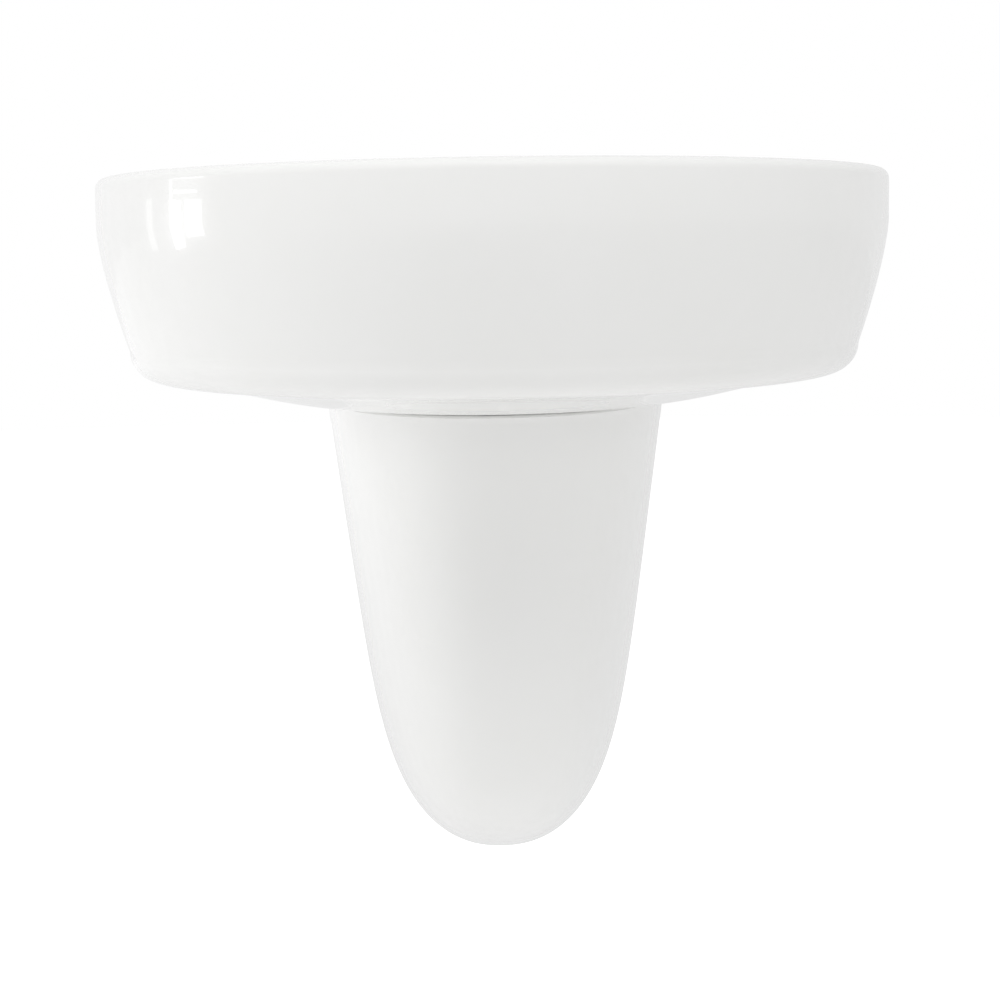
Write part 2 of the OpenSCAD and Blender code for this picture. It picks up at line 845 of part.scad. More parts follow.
module trap_cup_seal() {
    color(rubber_c)
        at_waste()
            translate([0, 0, cup_seat_z])
                ring(spigot_r - 0.2, chamber_r + 0.2, 2);
}

module outlet_nut() {
    color(white_plastic_c)
        translate([0, stub_y + joint_seal_t + lip_t, outlet_z])
            rotate([90, 0, 0])
                union_nut(waste_r, tube_r + slip_gap, joint_seal_t + thread_l);
}

module outlet_seal() {
    color(rubber_c)
        translate([0, 0, outlet_z])
            along_y(stub_y)
                ring(waste_r - 0.5, tube_r + thread_gap, joint_seal_t);
}

module wall_tube() {
    color(white_plastic_c)
        translate([0, 0, outlet_z])
            difference() {
                union() {
                    along_y(tube_start_y)
                        cylinder(r = tube_r, h = -tube_start_y + bead_l);
                    along_y(0)
                        cylinder(r = tube_r + 1, h = bead_l);
                    along_y(bead_l)
                        cylinder(r = tube_r, h = wall_reach);
                }
                along_y(tube_start_y - 1)
                    cylinder(r = tube_in_r, h = wall_reach + bead_l - tube_start_y + 2);
            }
}

module wall_rosette() {
    inner = tube_r + slip_gap;
    color(chrome_c)
        translate([0, 0, outlet_z])
            rotate([90, 0, 0])
                rotate_extrude()
                    polygon([
                        [inner, run_gap],
                        [rosette_r, run_gap],
                        [rosette_r, run_gap + 1],
                        for (a = [15:15:90])
                            [inner + 2 + (rosette_r - inner - 2) * cos(a), 1 + (rosette_t - 1) * sin(a)],
                        [inner, rosette_t]
                    ]);
}

// Stud that is thicker in the wall than in the room, its shoulder on the wall
module wall_stud(r, reach, room) {
    along_y(0)
        cylinder(r = r, h = reach);
    along_y(-room)
        cylinder(r = r - 0.25, h = room);
}

module basin_wall_bolts() {
    color(steel_c)
        both_sides(bolt_spacing, 0)
            wall_stud(bolt_r, bolt_reach, bolt_stack + bolt_nut_t + thread_past);
}

module basin_bolt_bushes() {
    color(white_plastic_c)
        both_sides(bolt_spacing, 0)
            translate([0, -back_t, 0])
                rotate([90, 0, 0])
                    flanged_bush(bolt_hole_r + 6, bolt_hole_r - run_gap, bolt_r, back_t - 1);
}

module basin_bolt_washers() {
    color(steel_c)
        both_sides(bolt_spacing, 0)
            along_y(-back_t - bush_flange_t - washer_t)
                ring(2 * bolt_r, bolt_r, washer_t);
}

module basin_bolt_nuts() {
    color(steel_c)
        both_sides(bolt_spacing, 0)
            along_y(-bolt_stack - bolt_nut_t)
                hex_nut(bolt_nut_w, bolt_r - 0.25 + thread_gap, bolt_nut_t);
}

module pedestal_bolts() {
    color(steel_c)
        both_sides(stud_spacing, lug_z)
            wall_stud(stud_r, stud_reach, stud_stack + stud_nut_t + thread_past);
}

module pedestal_bolt_sleeves() {
    color(white_plastic_c)
        both_sides(stud_spacing, lug_z)
            translate([0, -lug_face, 0])
                rotate([90, 0, 0])
                    flanged_bush(lug_hole_r + 4, lug_hole_r - run_gap, stud_r, lug_t);
}

module pedestal_bolt_washers() {
    color(steel_c)
        both_sides(stud_spacing, lug_z)
            along_y(-lug_face - bush_flange_t - washer_t)
                ring(2 * stud_r, stud_r, washer_t);
}

module pedestal_bolt_nuts() {
    color(steel_c)
        both_sides(stud_spacing, lug_z)
            along_y(-stud_stack - stud_nut_t)
                hex_nut(stud_nut_w, stud_r - 0.25 + thread_gap, stud_nut_t);
}

basin();
half_pedestal();
pedestal_top_pads();
overflow_ring();
waste_body();
plug_cap();
plug_seal();
plug_spindle();
click_cartridge();
waste_top_seal();
waste_cone_seal();
waste_slip_washer();
waste_back_nut();
trap_inlet_seal();
trap_coupling_nut();
trap_inlet_pipe();
trap_slip_nut();
trap_slip_seal();
trap_head();
trap_cup();
trap_cup_seal();
outlet_nut();
outlet_seal();
wall_tube();
wall_rosette();
basin_wall_bolts();
basin_bolt_bushes();
basin_bolt_washers();
basin_bolt_nuts();
pedestal_bolts();
pedestal_bolt_sleeves();
pedestal_bolt_washers();
pedestal_bolt_nuts();
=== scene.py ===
"""Dresses the wall-hung washbasin: glazed china, chromed waste, plastic bottle trap and zinc fixings.

Lengths in the classes are millimetres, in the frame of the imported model: +X to the right, +Y into the
wall, +Z up, with the origin midway between the two wall bolts. Meshes are written in metres.

A size's ending says what it is: _r a radius, _t a thickness, _w a width, _h a height, _z a level and _y a
distance from the wall.
"""
import logging
import math
from dataclasses import dataclass, field
from enum import Enum
from typing import Sequence

import bmesh
import bpy
import numpy as np
from mathutils import Matrix, Vector


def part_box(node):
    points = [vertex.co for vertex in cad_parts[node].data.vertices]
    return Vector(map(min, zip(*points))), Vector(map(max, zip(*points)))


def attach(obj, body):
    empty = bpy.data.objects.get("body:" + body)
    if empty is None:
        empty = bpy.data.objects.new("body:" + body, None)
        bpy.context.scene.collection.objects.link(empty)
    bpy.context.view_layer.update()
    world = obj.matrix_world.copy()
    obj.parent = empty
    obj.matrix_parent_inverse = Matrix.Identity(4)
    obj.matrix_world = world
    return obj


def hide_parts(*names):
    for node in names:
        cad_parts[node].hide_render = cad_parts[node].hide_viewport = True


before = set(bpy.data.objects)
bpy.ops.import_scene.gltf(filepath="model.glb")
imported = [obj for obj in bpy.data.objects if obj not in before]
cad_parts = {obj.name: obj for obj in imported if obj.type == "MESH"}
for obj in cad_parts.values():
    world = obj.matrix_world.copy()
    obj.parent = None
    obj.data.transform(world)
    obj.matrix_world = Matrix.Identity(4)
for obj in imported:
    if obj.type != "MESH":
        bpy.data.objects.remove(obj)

LOG = logging.getLogger("washbasin")
MM = 0.001
# Edges sharper than this stay crisp under smooth shading.
SMOOTH_BELOW = math.radians(32)
# Points nearer the axis than this lie on it.
ON_AXIS = 1e-6
# A corner flatter than this needs no rounding.
NEARLY_FLAT = math.radians(165)
# A rounding takes up at most this share of an edge.
EDGE_SHARE = 0.45
# Steps round a cutting tool, and in the quarter turn of its flared end.
TOOL_STEPS = 72
FLARE_STEPS = 6
# A cutting tool passes through its surface by this much, in millimetres.
PAST = 1.0
# A joined piece sinks into its neighbour by this much, in millimetres.
BITE = 3.0
# A press fit's clearance round a thread or a tube, in millimetres.
SNUG = 0.15
# Points round one corner of the half pedestal's edges.
EDGE_POINTS = 5
# Numbers of the axes that pieces are turned about.
Y, Z = 1, 2
WHITE = (1.0, 1.0, 1.0, 1.0)
Rings = list[np.ndarray]
Outline = list[tuple[float, float]]


# Colours and shader trees

def linear(hex_colour: str) -> tuple[float, float, float, float]:
    """Turns a written sRGB colour into the linear one that shaders use.

    Args:
        hex_colour: six hex digits after a hash sign.

    Returns:
        Red, green, blue and an alpha of one.
    """
    # The numbers are those of the sRGB standard's own curve.
    parts = [int(hex_colour[i:i + 2], 16) / 255 for i in (1, 3, 5)]
    red, green, blue = (p / 12.92 if p <= 0.04045 else ((p + 0.055) / 1.055) ** 2.4 for p in parts)
    return red, green, blue, 1.0


def add_node(tree: bpy.types.NodeTree, kind: str, inputs: dict | None = None,
             **settings: str | bool) -> bpy.types.Node:
    """Adds a node, sets its properties and fills or links its inputs.

    Args:
        tree: the node tree that takes the node.
        kind: the node's type name.
        inputs: values or output sockets, by the input's name or number.
        settings: properties to set, by name.

    Returns:
        The new node.
    """
    node = tree.nodes.new(kind)
    for name, value in settings.items():
        setattr(node, name, value)
    for key, value in (inputs or {}).items():
        socket = node.inputs[key]
        if isinstance(value, bpy.types.NodeSocket):
            tree.links.new(value, socket)
        else:
            socket.default_value = value
    return node


class Pattern(Enum):
    """How a finish varies over its surface."""

    GLAZE = "long soft waves of a fired glaze"
    GRAIN = "fine even grain"
    SPANGLE = "crystals of a zinc coat"
    SMEAR = "faint wiped smears"


@dataclass(frozen=True)
class Finish:
    """A real material: its two close colours, its gloss and the relief that it shows.

    Attributes:
        name: the material's name.
        colour: main colour.
        second: colour that the main one drifts to.
        metallic: one for metals.
        rough: lowest roughness.
        rough_spread: how much rougher the roughest patches are.
        ior: index of refraction, or None to leave a metal's default.
        pattern: how it varies.
        patch: size of a colour patch in millimetres.
        relief: size of a relief feature in millimetres.
        depth: height of the relief in millimetres.
        slot: name of its material slot; not used.
        coat: weight of a clear coat.
        coat_rough: roughness of that coat.
    """

    name: str
    colour: str
    second: str
    metallic: float
    rough: float
    rough_spread: float
    ior: float | None
    pattern: Pattern
    patch: float
    relief: float
    depth: float
    slot: str
    coat: float = 0.0
    coat_rough: float = 0.03

    def material(self) -> bpy.types.Material:
        """Builds the material, unless it is already there.

        Returns:
            The material.
        """
        made = bpy.data.materials.get(self.name)
        if made is not None:
            return made
        made = bpy.data.materials.new(self.name)
        made.use_nodes = True
        tree = made.node_tree
        tree.nodes.clear()
        place = add_node(tree, "ShaderNodeTexCoord").outputs["Object"]
        drift = add_node(tree, "ShaderNodeTexNoise",
                         {"Vector": place, "Scale": 1 / (self.patch * MM), "Detail": 3.0,
                          "Roughness": 0.55})
        colour = add_node(tree, "ShaderNodeMix",
                          {0: drift.outputs["Fac"], 6: linear(self.colour), 7: linear(self.second)},
                          data_type="RGBA")
        # The noise mostly stays between 0.3 and 0.7.
        rough = add_node(tree, "ShaderNodeMapRange",
                         {"Value": self._gloss(tree, place), "From Min": 0.3, "From Max": 0.7,
                          "To Min": self.rough, "To Max": self.rough + self.rough_spread})
        bump = add_node(tree, "ShaderNodeBump",
                        {"Strength": 1.0, "Distance": self.depth * MM,
                         "Height": self._height(tree, place)})
        values = {"Base Color": colour.outputs[2], "Metallic": self.metallic,
                  "Roughness": rough.outputs["Result"], "Normal": bump.outputs["Normal"],
                  "Coat Weight": self.coat, "Coat Roughness": self.coat_rough}
        if self.ior is not None:
            values["IOR"] = self.ior
        shader = add_node(tree, "ShaderNodeBsdfPrincipled", values)
        add_node(tree, "ShaderNodeOutputMaterial", {"Surface": shader.outputs["BSDF"]})
        return made

    def _gloss(self, tree: bpy.types.NodeTree, place: bpy.types.NodeSocket) -> bpy.types.NodeSocket:
        """Adds the value that drives the roughness: streaks where the finish is wiped, else soft spots.

        Args:
            tree: the material's node tree.
            place: the position on the piece.

        Returns:
            The value's socket.
        """
        wiped = self.pattern is Pattern.SMEAR
        # Spots of gloss are smaller than patches of colour, and smears are smaller still and bent.
        size = self.patch * (0.35 if wiped else 0.6)
        return add_node(tree, "ShaderNodeTexNoise",
                        {"Vector": place, "Scale": 1 / (size * MM), "Detail": 4.0,
                         "Distortion": 1.2 if wiped else 0.0}).outputs["Fac"]

    def _height(self, tree: bpy.types.NodeTree, place: bpy.types.NodeSocket) -> bpy.types.NodeSocket:
        """Adds the relief's height, from zero to one.

        Args:
            tree: the material's node tree.
            place: the position on the piece.

        Returns:
            The height's socket.
        """
        if self.pattern is Pattern.SPANGLE:
            return add_node(tree, "ShaderNodeTexVoronoi",
                            {"Vector": place, "Scale": 1 / (self.relief * MM)},
                            feature="SMOOTH_F1").outputs["Distance"]
        detail = 1.0 if self.pattern is Pattern.GLAZE else 5.0
        return add_node(tree, "ShaderNodeTexNoise",
                        {"Vector": place, "Scale": 1 / (self.relief * MM), "Detail": detail,
                         "Roughness": 0.4}).outputs["Fac"]


# Vitreous china, slip cast, sprayed white and fired: a deep glassy shine over long soft waves, which bend
# the reflections. The waves are as long as such a glaze shows, a hand's breadth and less.
GLAZE = Finish(
    "vitreous_china_glaze", colour="#f6f6f5", second="#f3f3f1", metallic=0.0, rough=0.16,
    rough_spread=0.05, ior=1.52, pattern=Pattern.GLAZE, patch=90, relief=46, depth=0.05,
    slot="white_china", coat=1.0, coat_rough=0.02)
# The same china without glaze, on the wall face and inside the casting: matt, creamy and finely sandy.
# Its grain is drawn coarser than the real 0.1 mm, so that it shows.
BISQUE = Finish(
    "bare_fired_china", colour="#ece9e2", second="#e4dfd5", metallic=0.0, rough=0.82, rough_spread=0.1,
    ior=1.5, pattern=Pattern.GRAIN, patch=40, relief=0.9, depth=0.05, slot="white_china")
# Brass, turned, polished and chrome plated: a mirror with the faint smears that a cloth leaves.
CHROME = Finish(
    "chrome_plated_brass", colour="#d3d5d8", second="#c9cbcf", metallic=1.0, rough=0.05,
    rough_spread=0.08, ior=None, pattern=Pattern.SMEAR, patch=30, relief=9, depth=0.002, slot="chrome")
# Polypropylene, injection moulded: half-gloss white with the fine texture of its mould. The texture is
# drawn coarser than the real 0.05 mm, so that it shows.
MOULDING = Finish(
    "white_polypropylene", colour="#ececea", second="#e4e4e1", metallic=0.0, rough=0.34,
    rough_spread=0.1, ior=1.49, pattern=Pattern.GRAIN, patch=35, relief=0.6, depth=0.012,
    slot="white_plastic")
# Natural nylon, injection moulded, of the bushes and the latch sleeve: milky and slightly waxy.
NYLON = Finish(
    "natural_nylon", colour="#e8e6dc", second="#dedbcf", metallic=0.0, rough=0.4, rough_spread=0.1,
    ior=1.53, pattern=Pattern.GRAIN, patch=12, relief=0.5, depth=0.01, slot="white_plastic")
# Rubber, moulded and cut, of the washers and pads: nearly black and matt, with a fine grain.
RUBBER = Finish(
    "black_rubber", colour="#2b2b2d", second="#353537", metallic=0.0, rough=0.68, rough_spread=0.12,
    ior=1.52, pattern=Pattern.GRAIN, patch=9, relief=0.35, depth=0.02, slot="black_rubber")
# Steel, rolled and zinc plated, of the bolts, washers and nuts: dull silver with small crystals.
ZINC = Finish(
    "zinc_plated_steel", colour="#b9bec3", second="#a9aeb2", metallic=1.0, rough=0.28,
    rough_spread=0.14, ior=None, pattern=Pattern.SPANGLE, patch=8, relief=1.1, depth=0.012,
    slot="zinc_steel")
# Stainless steel, drawn and left bare, of the spindle: a soft grey shine with fine streaks.
STAINLESS = Finish(
    "stainless_steel", colour="#c2c3c4", second="#b6b7b9", metallic=1.0, rough=0.18, rough_spread=0.08,
    ior=None, pattern=Pattern.SMEAR, patch=10, relief=0.5, depth=0.004, slot="zinc_steel")


# Meshes

def piece(name: str, points: np.ndarray, faces: Sequence[Sequence[int]],
          finish: Finish) -> bpy.types.Object:
    """Makes an object at the origin from points in millimetres.

    Args:
        name: the object's name.
        points: rows of x, y and z.
        faces: corner numbers of each face.
        finish: its material.

    Returns:
        The linked object.
    """
    mesh = bpy.data.meshes.new(name)
    mesh.from_pydata((np.asarray(points) * MM).tolist(), [], [list(f) for f in faces])
    mesh.validate()
    mesh.materials.append(finish.material())
    made = bpy.data.objects.new(name, mesh)
    bpy.context.scene.collection.objects.link(made)
    return made


def skin(rings: Rings, closed_ends: bool = True) -> tuple[np.ndarray, list[list[int]]]:
    """Joins rings of equal length with quads, each ring counter-clockwise seen from outside its start.

    Args:
        rings: the rings, in order.
        closed_ends: whether a face closes each end.

    Returns:
        Points and faces.
    """
    count = len(rings[0])
    faces = []
    for k in range(len(rings) - 1):
        a, b = k * count, (k + 1) * count
        for i in range(count):
            j = (i + 1) % count
            faces.append([a + i, a + j, b + j, b + i])
    if closed_ends:
        faces.append(list(range(count - 1, -1, -1)))
        faces.append(list(range((len(rings) - 1) * count, len(rings) * count)))
    return np.vstack(rings), faces


def level(flat: np.ndarray, z: float) -> np.ndarray:
    """Gives rows of x and y one height."""
    return np.column_stack([flat, np.full(len(flat), z)])


def circle(r: float, z: float, steps: int) -> np.ndarray:
    """Returns the points of a level circle round the Z axis."""
    turn = np.linspace(0, 2 * math.pi, steps, endpoint=False)
    return level(np.column_stack([r * np.cos(turn), r * np.sin(turn)]), z)


def lathe(profile: Outline, steps: int = 96) -> tuple[np.ndarray, list[list[int]]]:
    """Turns a closed outline round the Z axis.

    Args:
        profile: radius and height of each corner, in order round the section.
        steps: faces round the turn.

    Returns:
        Points and faces.
    """
    rings = [circle(r, z, steps) for r, z in profile]
    return skin(rings + [rings[0]], closed_ends=False)


def clean(made: bpy.types.Object, merge: float = 1e-6) -> None:
    """Merges doubled points, drops flat faces and turns every face outwards.

    Args:
        made: the object to clean.
        merge: distance in metres under which points merge.
    """
    work = bmesh.new()
    work.from_mesh(made.data)
    bmesh.ops.remove_doubles(work, verts=work.verts, dist=merge)
    bmesh.ops.dissolve_degenerate(work, edges=work.edges, dist=merge)
    bmesh.ops.recalc_face_normals(work, faces=work.faces)
    work.to_mesh(made.data)
    work.free()


def turned(name: str, profile: Outline, finish: Finish, place: Matrix | None = None,
           steps: int = 96) -> bpy.types.Object:
    """Makes a turned piece.

    Args:
        name: the object's name.
        profile: its section, as lathe takes it.
        finish: its material.
        place: where its own Z axis goes, in millimetres.
        steps: faces round the turn.

    Returns:
        The object.
    """
    points, faces = lathe(profile, steps)
    made = piece(name, moved(points, place), faces, finish)
    clean(made)
    shade(made)
    return made


def moved(points: np.ndarray, place: Matrix | None) -> np.ndarray:
    """Carries points by a matrix.

    Args:
        points: rows of x, y and z, in millimetres.
        place: the matrix, in millimetres, or None to leave them.

    Returns:
        The carried points.
    """
    if place is None:
        return points
    grid = np.array(place)
    return points @ grid[:3, :3].T + grid[:3, 3]


def closed(name: str, rings: Rings, finish: Finish, place: Matrix | None = None) -> bpy.types.Object:
    """Makes a closed piece from rings.

    Args:
        name: the object's name.
        rings: its rings, in order.
        finish: its material.
        place: where it is carried, in millimetres.

    Returns:
        The piece.
    """
    points, faces = skin(rings)
    made = piece(name, moved(points, place), faces, finish)
    clean(made)
    return made


def shade(made: bpy.types.Object) -> None:
    """Shades the faces smooth and keeps the sharp edges crisp."""
    made.data.shade_smooth()
    made.data.set_sharp_from_angle(angle=SMOOTH_BELOW)


class Carving(Enum):
    """What a tool does to a body."""

    JOIN = "UNION"
    CUT = "DIFFERENCE"
    TRIM = "INTERSECT"


def carve(body: bpy.types.Object, tools: Sequence[bpy.types.Object], action: Carving) -> None:
    """Joins tools to a body, cuts them out or trims it to them, then removes them.

    Args:
        body: the object that changes.
        tools: closed objects.
        action: what they do to it.
    """
    for tool in tools:
        step = body.modifiers.new("carve", "BOOLEAN")
        step.operation = action.value
        step.solver = "MANIFOLD"
        step.material_mode = "TRANSFER"
        step.object = tool
        apply_modifiers(body)
        bpy.data.objects.remove(tool, do_unlink=True)


def apply_modifiers(made: bpy.types.Object) -> None:
    """Puts the evaluated mesh in the place of the object's own and removes its modifiers.

    Args:
        made: the object with modifiers.
    """
    graph = bpy.context.evaluated_depsgraph_get()
    graph.update()
    result = bpy.data.meshes.new_from_object(made.evaluated_get(graph), depsgraph=graph)
    old = made.data
    made.modifiers.clear()
    made.data = result
    bpy.data.meshes.remove(old)


def along_y(x: float, y: float, z: float) -> Matrix:
    """Matrix that lays a turned piece's axis along +Y from a point."""
    return Matrix.Translation((x, y, z)) @ Matrix.Rotation(-math.pi / 2, 4, "X")


def to_room(x: float, y: float, z: float) -> Matrix:
    """Matrix that lays a turned piece's axis along -Y from a point."""
    return Matrix.Translation((x, y, z)) @ Matrix.Rotation(math.pi / 2, 4, "X")


def span(node: str, axis: int) -> tuple[float, float]:
    """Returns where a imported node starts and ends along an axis, in millimetres."""
    low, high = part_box(node)
    return low[axis] / MM, high[axis] / MM


def joined(name: str, parts: Sequence[bpy.types.Object]) -> bpy.types.Object:
    """Makes one object of several that share a material.

    Args:
        name: the new object's name.
        parts: the objects, which are removed.

    Returns:
        The new object.
    """
    work = bmesh.new()
    for part in parts:
        work.from_mesh(part.data)
    made = bpy.data.objects.new(name, bpy.data.meshes.new(name))
    work.to_mesh(made.data)
    work.free()
    made.data.materials.append(parts[0].data.materials[0])
    bpy.context.scene.collection.objects.link(made)
    for part in parts:
        bpy.data.objects.remove(part, do_unlink=True)
    return made


def fit(made: bpy.types.Object, finish: Finish, node: str, body: str = "washbasin") -> None:
    """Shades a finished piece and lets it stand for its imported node.

    Args:
        made: the piece.
        finish: its main material.
        node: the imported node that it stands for.
        body: the body that it moves with.
    """
    shade(made)
    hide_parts(node)
    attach(made, body)
    LOG.info("%s: %d faces, %s, on %s", made.name, len(made.data.polygons), finish.name, body)


def rounded(outline: Outline, r: float, steps: int = 4) -> Outline:
    """Rounds the corners of a closed outline, except those on the axis.

    Args:
        outline: radius and height of each corner.
        r: radius of the rounding.
        steps: points that each rounding adds.

    Returns:
        The outline with its roundings.
    """
    made = []
    for k, corner in enumerate(outline):
        here = Vector(corner)
        back, ahead = Vector(outline[k - 1]) - here, Vector(outline[(k + 1) % len(outline)]) - here
        turn = back.angle(ahead)
        if here.x < ON_AXIS or turn > NEARLY_FLAT:
            made.append(tuple(here))
            continue
        reach = min(r / math.tan(turn / 2), EDGE_SHARE * back.length, EDGE_SHARE * ahead.length)
        start, end = here + back.normalized() * reach, here + ahead.normalized() * reach
        for t in np.linspace(0, 1, steps + 1):
            made.append(tuple(start * (1 - t) ** 2 + here * (2 * t * (1 - t)) + end * t * t))
    return made


def tube(outer: float, inner: float, low: float, high: float, edge: float) -> Outline:
    """Returns the outline of a ring or tube with rounded edges."""
    return rounded([(inner, low), (outer, low), (outer, high), (inner, high)], edge)


def washer(node: str, inner: float, finish: Finish, axis: int = Z) -> None:
    """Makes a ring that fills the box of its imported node.

    Args:
        node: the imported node.
        inner: radius of its hole.
        finish: its material.
        axis: the axis that it is turned about.
    """
    low, high = (Vector(corner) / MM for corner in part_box(node))
    middle = (low + high) / 2
    outer = (high.x - low.x) / 2
    place = Matrix.Translation((0, middle.y, low.z)) if axis == Z else along_y(0, low.y, middle.z)
    section = tube(outer, inner, 0, high[axis] - low[axis], edge=0.5)
    fit(turned(node + "_ring", section, finish, place), finish, node)


def block(name: str, low: Sequence[float], high: Sequence[float], edge: float, finish: Finish,
          place: Matrix | None = None) -> bpy.types.Object:
    """Makes a box with rounded edges between two corners.

    Args:
        name: the object's name.
        low: its lowest corner.
        high: its highest corner.
        edge: radius of its edges.
        finish: its material.
        place: where it is carried afterwards.

    Returns:
        The block.
    """
    work = bmesh.new()
    bmesh.ops.create_cube(work, size=1)
    bmesh.ops.scale(work, verts=work.verts, vec=Vector(high) - Vector(low))
    bmesh.ops.bevel(work, geom=work.edges[:], offset=edge, segments=4, affect="EDGES", profile=0.5)
    bmesh.ops.translate(work, verts=work.verts, vec=(Vector(high) + Vector(low)) / 2)
    work.verts.ensure_lookup_table()
    points = np.array([v.co[:] for v in work.verts])
    faces = [[v.index for v in f.verts] for f in work.faces]
    work.free()
    made = piece(name, moved(points, place), faces, finish)
    clean(made)
    return made


def rod(name: str, r: float, length: float, place: Matrix, flare: float = 0.0,
        finish: Finish = GLAZE) -> bpy.types.Object:
    """Makes a closed round tool, which may open out at its far end for a rounded edge.

    Args:
        name: the tool's name.
        r: its radius.
        length: its length along its own axis.
        place: where it goes, in millimetres.
        flare: radius of the rounded edge that it cuts at its far end.
        finish: the material of the faces that it leaves.

    Returns:
        The tool.
    """
    overrun = 4
    profile = [(r, 0.0), (r, length - flare)]
    profile += [(r + flare * (1 - math.cos(a)), length - flare + flare * math.sin(a))
                for a in np.radians(np.linspace(0, 90, FLARE_STEPS + 1)[1:])]
    if flare:
        profile.append((r + flare, length + overrun))
    rings = [circle(radius, z, TOOL_STEPS) for radius, z in dict.fromkeys(profile)]
    return closed(name, rings, finish, place)


# Threads and ribs, grown by Geometry Nodes

def new_group(name: str, inputs: dict[str, str]) -> tuple[bpy.types.NodeTree, bpy.types.Node]:
    """Starts a node group for a modifier.

    Args:
        name: the group's name.
        inputs: socket type of each named input.

    Returns:
        The group and the node that gives its inputs.
    """
    group = bpy.data.node_groups.new(name, "GeometryNodeTree")
    for label, kind in inputs.items():
        group.interface.new_socket(label, in_out="INPUT", socket_type=kind)
    group.interface.new_socket("Geometry", in_out="OUTPUT", socket_type="NodeSocketGeometry")
    return group, add_node(group, "NodeGroupInput")


def end_group(group: bpy.types.NodeTree, shape: bpy.types.NodeSocket,
              finish: bpy.types.NodeSocket) -> None:
    """Realizes a group's geometry, gives it its material and sends it out.

    Args:
        group: the node group.
        shape: the geometry's socket.
        finish: the material's socket.
    """
    real = add_node(group, "GeometryNodeRealizeInstances", {"Geometry": shape})
    dressed = add_node(group, "GeometryNodeSetMaterial",
                       {"Geometry": real.outputs[0], "Material": finish})
    add_node(group, "NodeGroupOutput", {"Geometry": dressed.outputs[0]})


def swell(group: bpy.types.NodeTree, steepness: bpy.types.NodeSocket | float) -> bpy.types.NodeSocket:
    """Gives a value along a curve that rises from zero at each end and stays at one between.

    Args:
        group: the node group.
        steepness: how many times over the value rises along the whole curve.

    Returns:
        The value's socket.
    """
    along = add_node(group, "GeometryNodeSplineParameter").outputs["Factor"]
    left = add_node(group, "ShaderNodeMath", {0: 1.0, 1: along}, operation="SUBTRACT")
    near = add_node(group, "ShaderNodeMath", {0: along, 1: left.outputs[0]}, operation="MINIMUM")
    rise = add_node(group, "ShaderNodeMath", {0: near.outputs[0], 1: steepness}, operation="MULTIPLY",
                    use_clamp=True)
    bow = add_node(group, "ShaderNodeMath", {0: rise.outputs[0], 1: math.pi / 2}, operation="MULTIPLY")
    return add_node(group, "ShaderNodeMath", {0: bow.outputs[0]}, operation="SINE").outputs[0]


def thread_group() -> bpy.types.NodeTree:
    """Builds the tree that sweeps a ridge along a helix and lets both ends run out.

    Returns:
        The node group.
    """
    group, given = new_group("screw_thread", {
        "Turns": "NodeSocketFloat", "Length": "NodeSocketFloat", "Radius": "NodeSocketFloat",
        "Ridge": "NodeSocketFloat", "Half Width": "NodeSocketFloat", "Finish": "NodeSocketMaterial"})
    helix = add_node(group, "GeometryNodeCurveSpiral", {
        "Resolution": 40, "Rotations": given.outputs["Turns"], "Start Radius": given.outputs["Radius"],
        "End Radius": given.outputs["Radius"], "Height": given.outputs["Length"]})
    upright = add_node(group, "GeometryNodeSetCurveNormal", {"Curve": helix.outputs[0]}, mode="Z_UP")
    section = add_node(group, "GeometryNodeCurvePrimitiveQuadrilateral",
                       {"Width": given.outputs["Ridge"], "Bottom Height": given.outputs["Half Width"],
                        "Top Height": given.outputs["Half Width"]}, mode="KITE")
    # Each end of the ridge runs out over two thirds of a turn.
    fade = add_node(group, "ShaderNodeMath", {0: given.outputs["Turns"], 1: 1.5}, operation="MULTIPLY")
    swept = add_node(group, "GeometryNodeCurveToMesh", {
        "Curve": upright.outputs[0], "Profile Curve": section.outputs[0],
        "Scale": swell(group, fade.outputs[0]), "Fill Caps": True})
    end_group(group, swept.outputs[0], given.outputs["Finish"])
    return group


def ribs_group() -> bpy.types.NodeTree:
    """Builds the tree that sets upright half-round ribs with rounded ends on a circle.

    Returns:
        The node group.
    """
    group, given = new_group("ring_of_ribs", {
        "Count": "NodeSocketInt", "Radius": "NodeSocketFloat", "Length": "NodeSocketFloat",
        "Thickness": "NodeSocketFloat", "Finish": "NodeSocketMaterial"})
    top = add_node(group, "ShaderNodeCombineXYZ", {"Z": given.outputs["Length"]})
    line = add_node(group, "GeometryNodeCurvePrimitiveLine", {"End": top.outputs[0]})
    fine = add_node(group, "GeometryNodeResampleCurve", {"Curve": line.outputs[0], "Count": 33})
    section = add_node(group, "GeometryNodeCurvePrimitiveCircle",
                       {"Resolution": 16, "Radius": given.outputs["Thickness"]})
    # Each end of a rib is rounded over a twelfth of its length.
    rib = add_node(group, "GeometryNodeCurveToMesh", {
        "Curve": fine.outputs[0], "Profile Curve": section.outputs[0], "Scale": swell(group, 12.0),
        "Fill Caps": True})
    spots = add_node(group, "GeometryNodeMeshCircle",
                     {"Vertices": given.outputs["Count"], "Radius": given.outputs["Radius"]})
    ring = add_node(group, "GeometryNodeInstanceOnPoints",
                    {"Points": spots.outputs[0], "Instance": rib.outputs[0]})
    end_group(group, ring.outputs[0], given.outputs["Finish"])
    return group


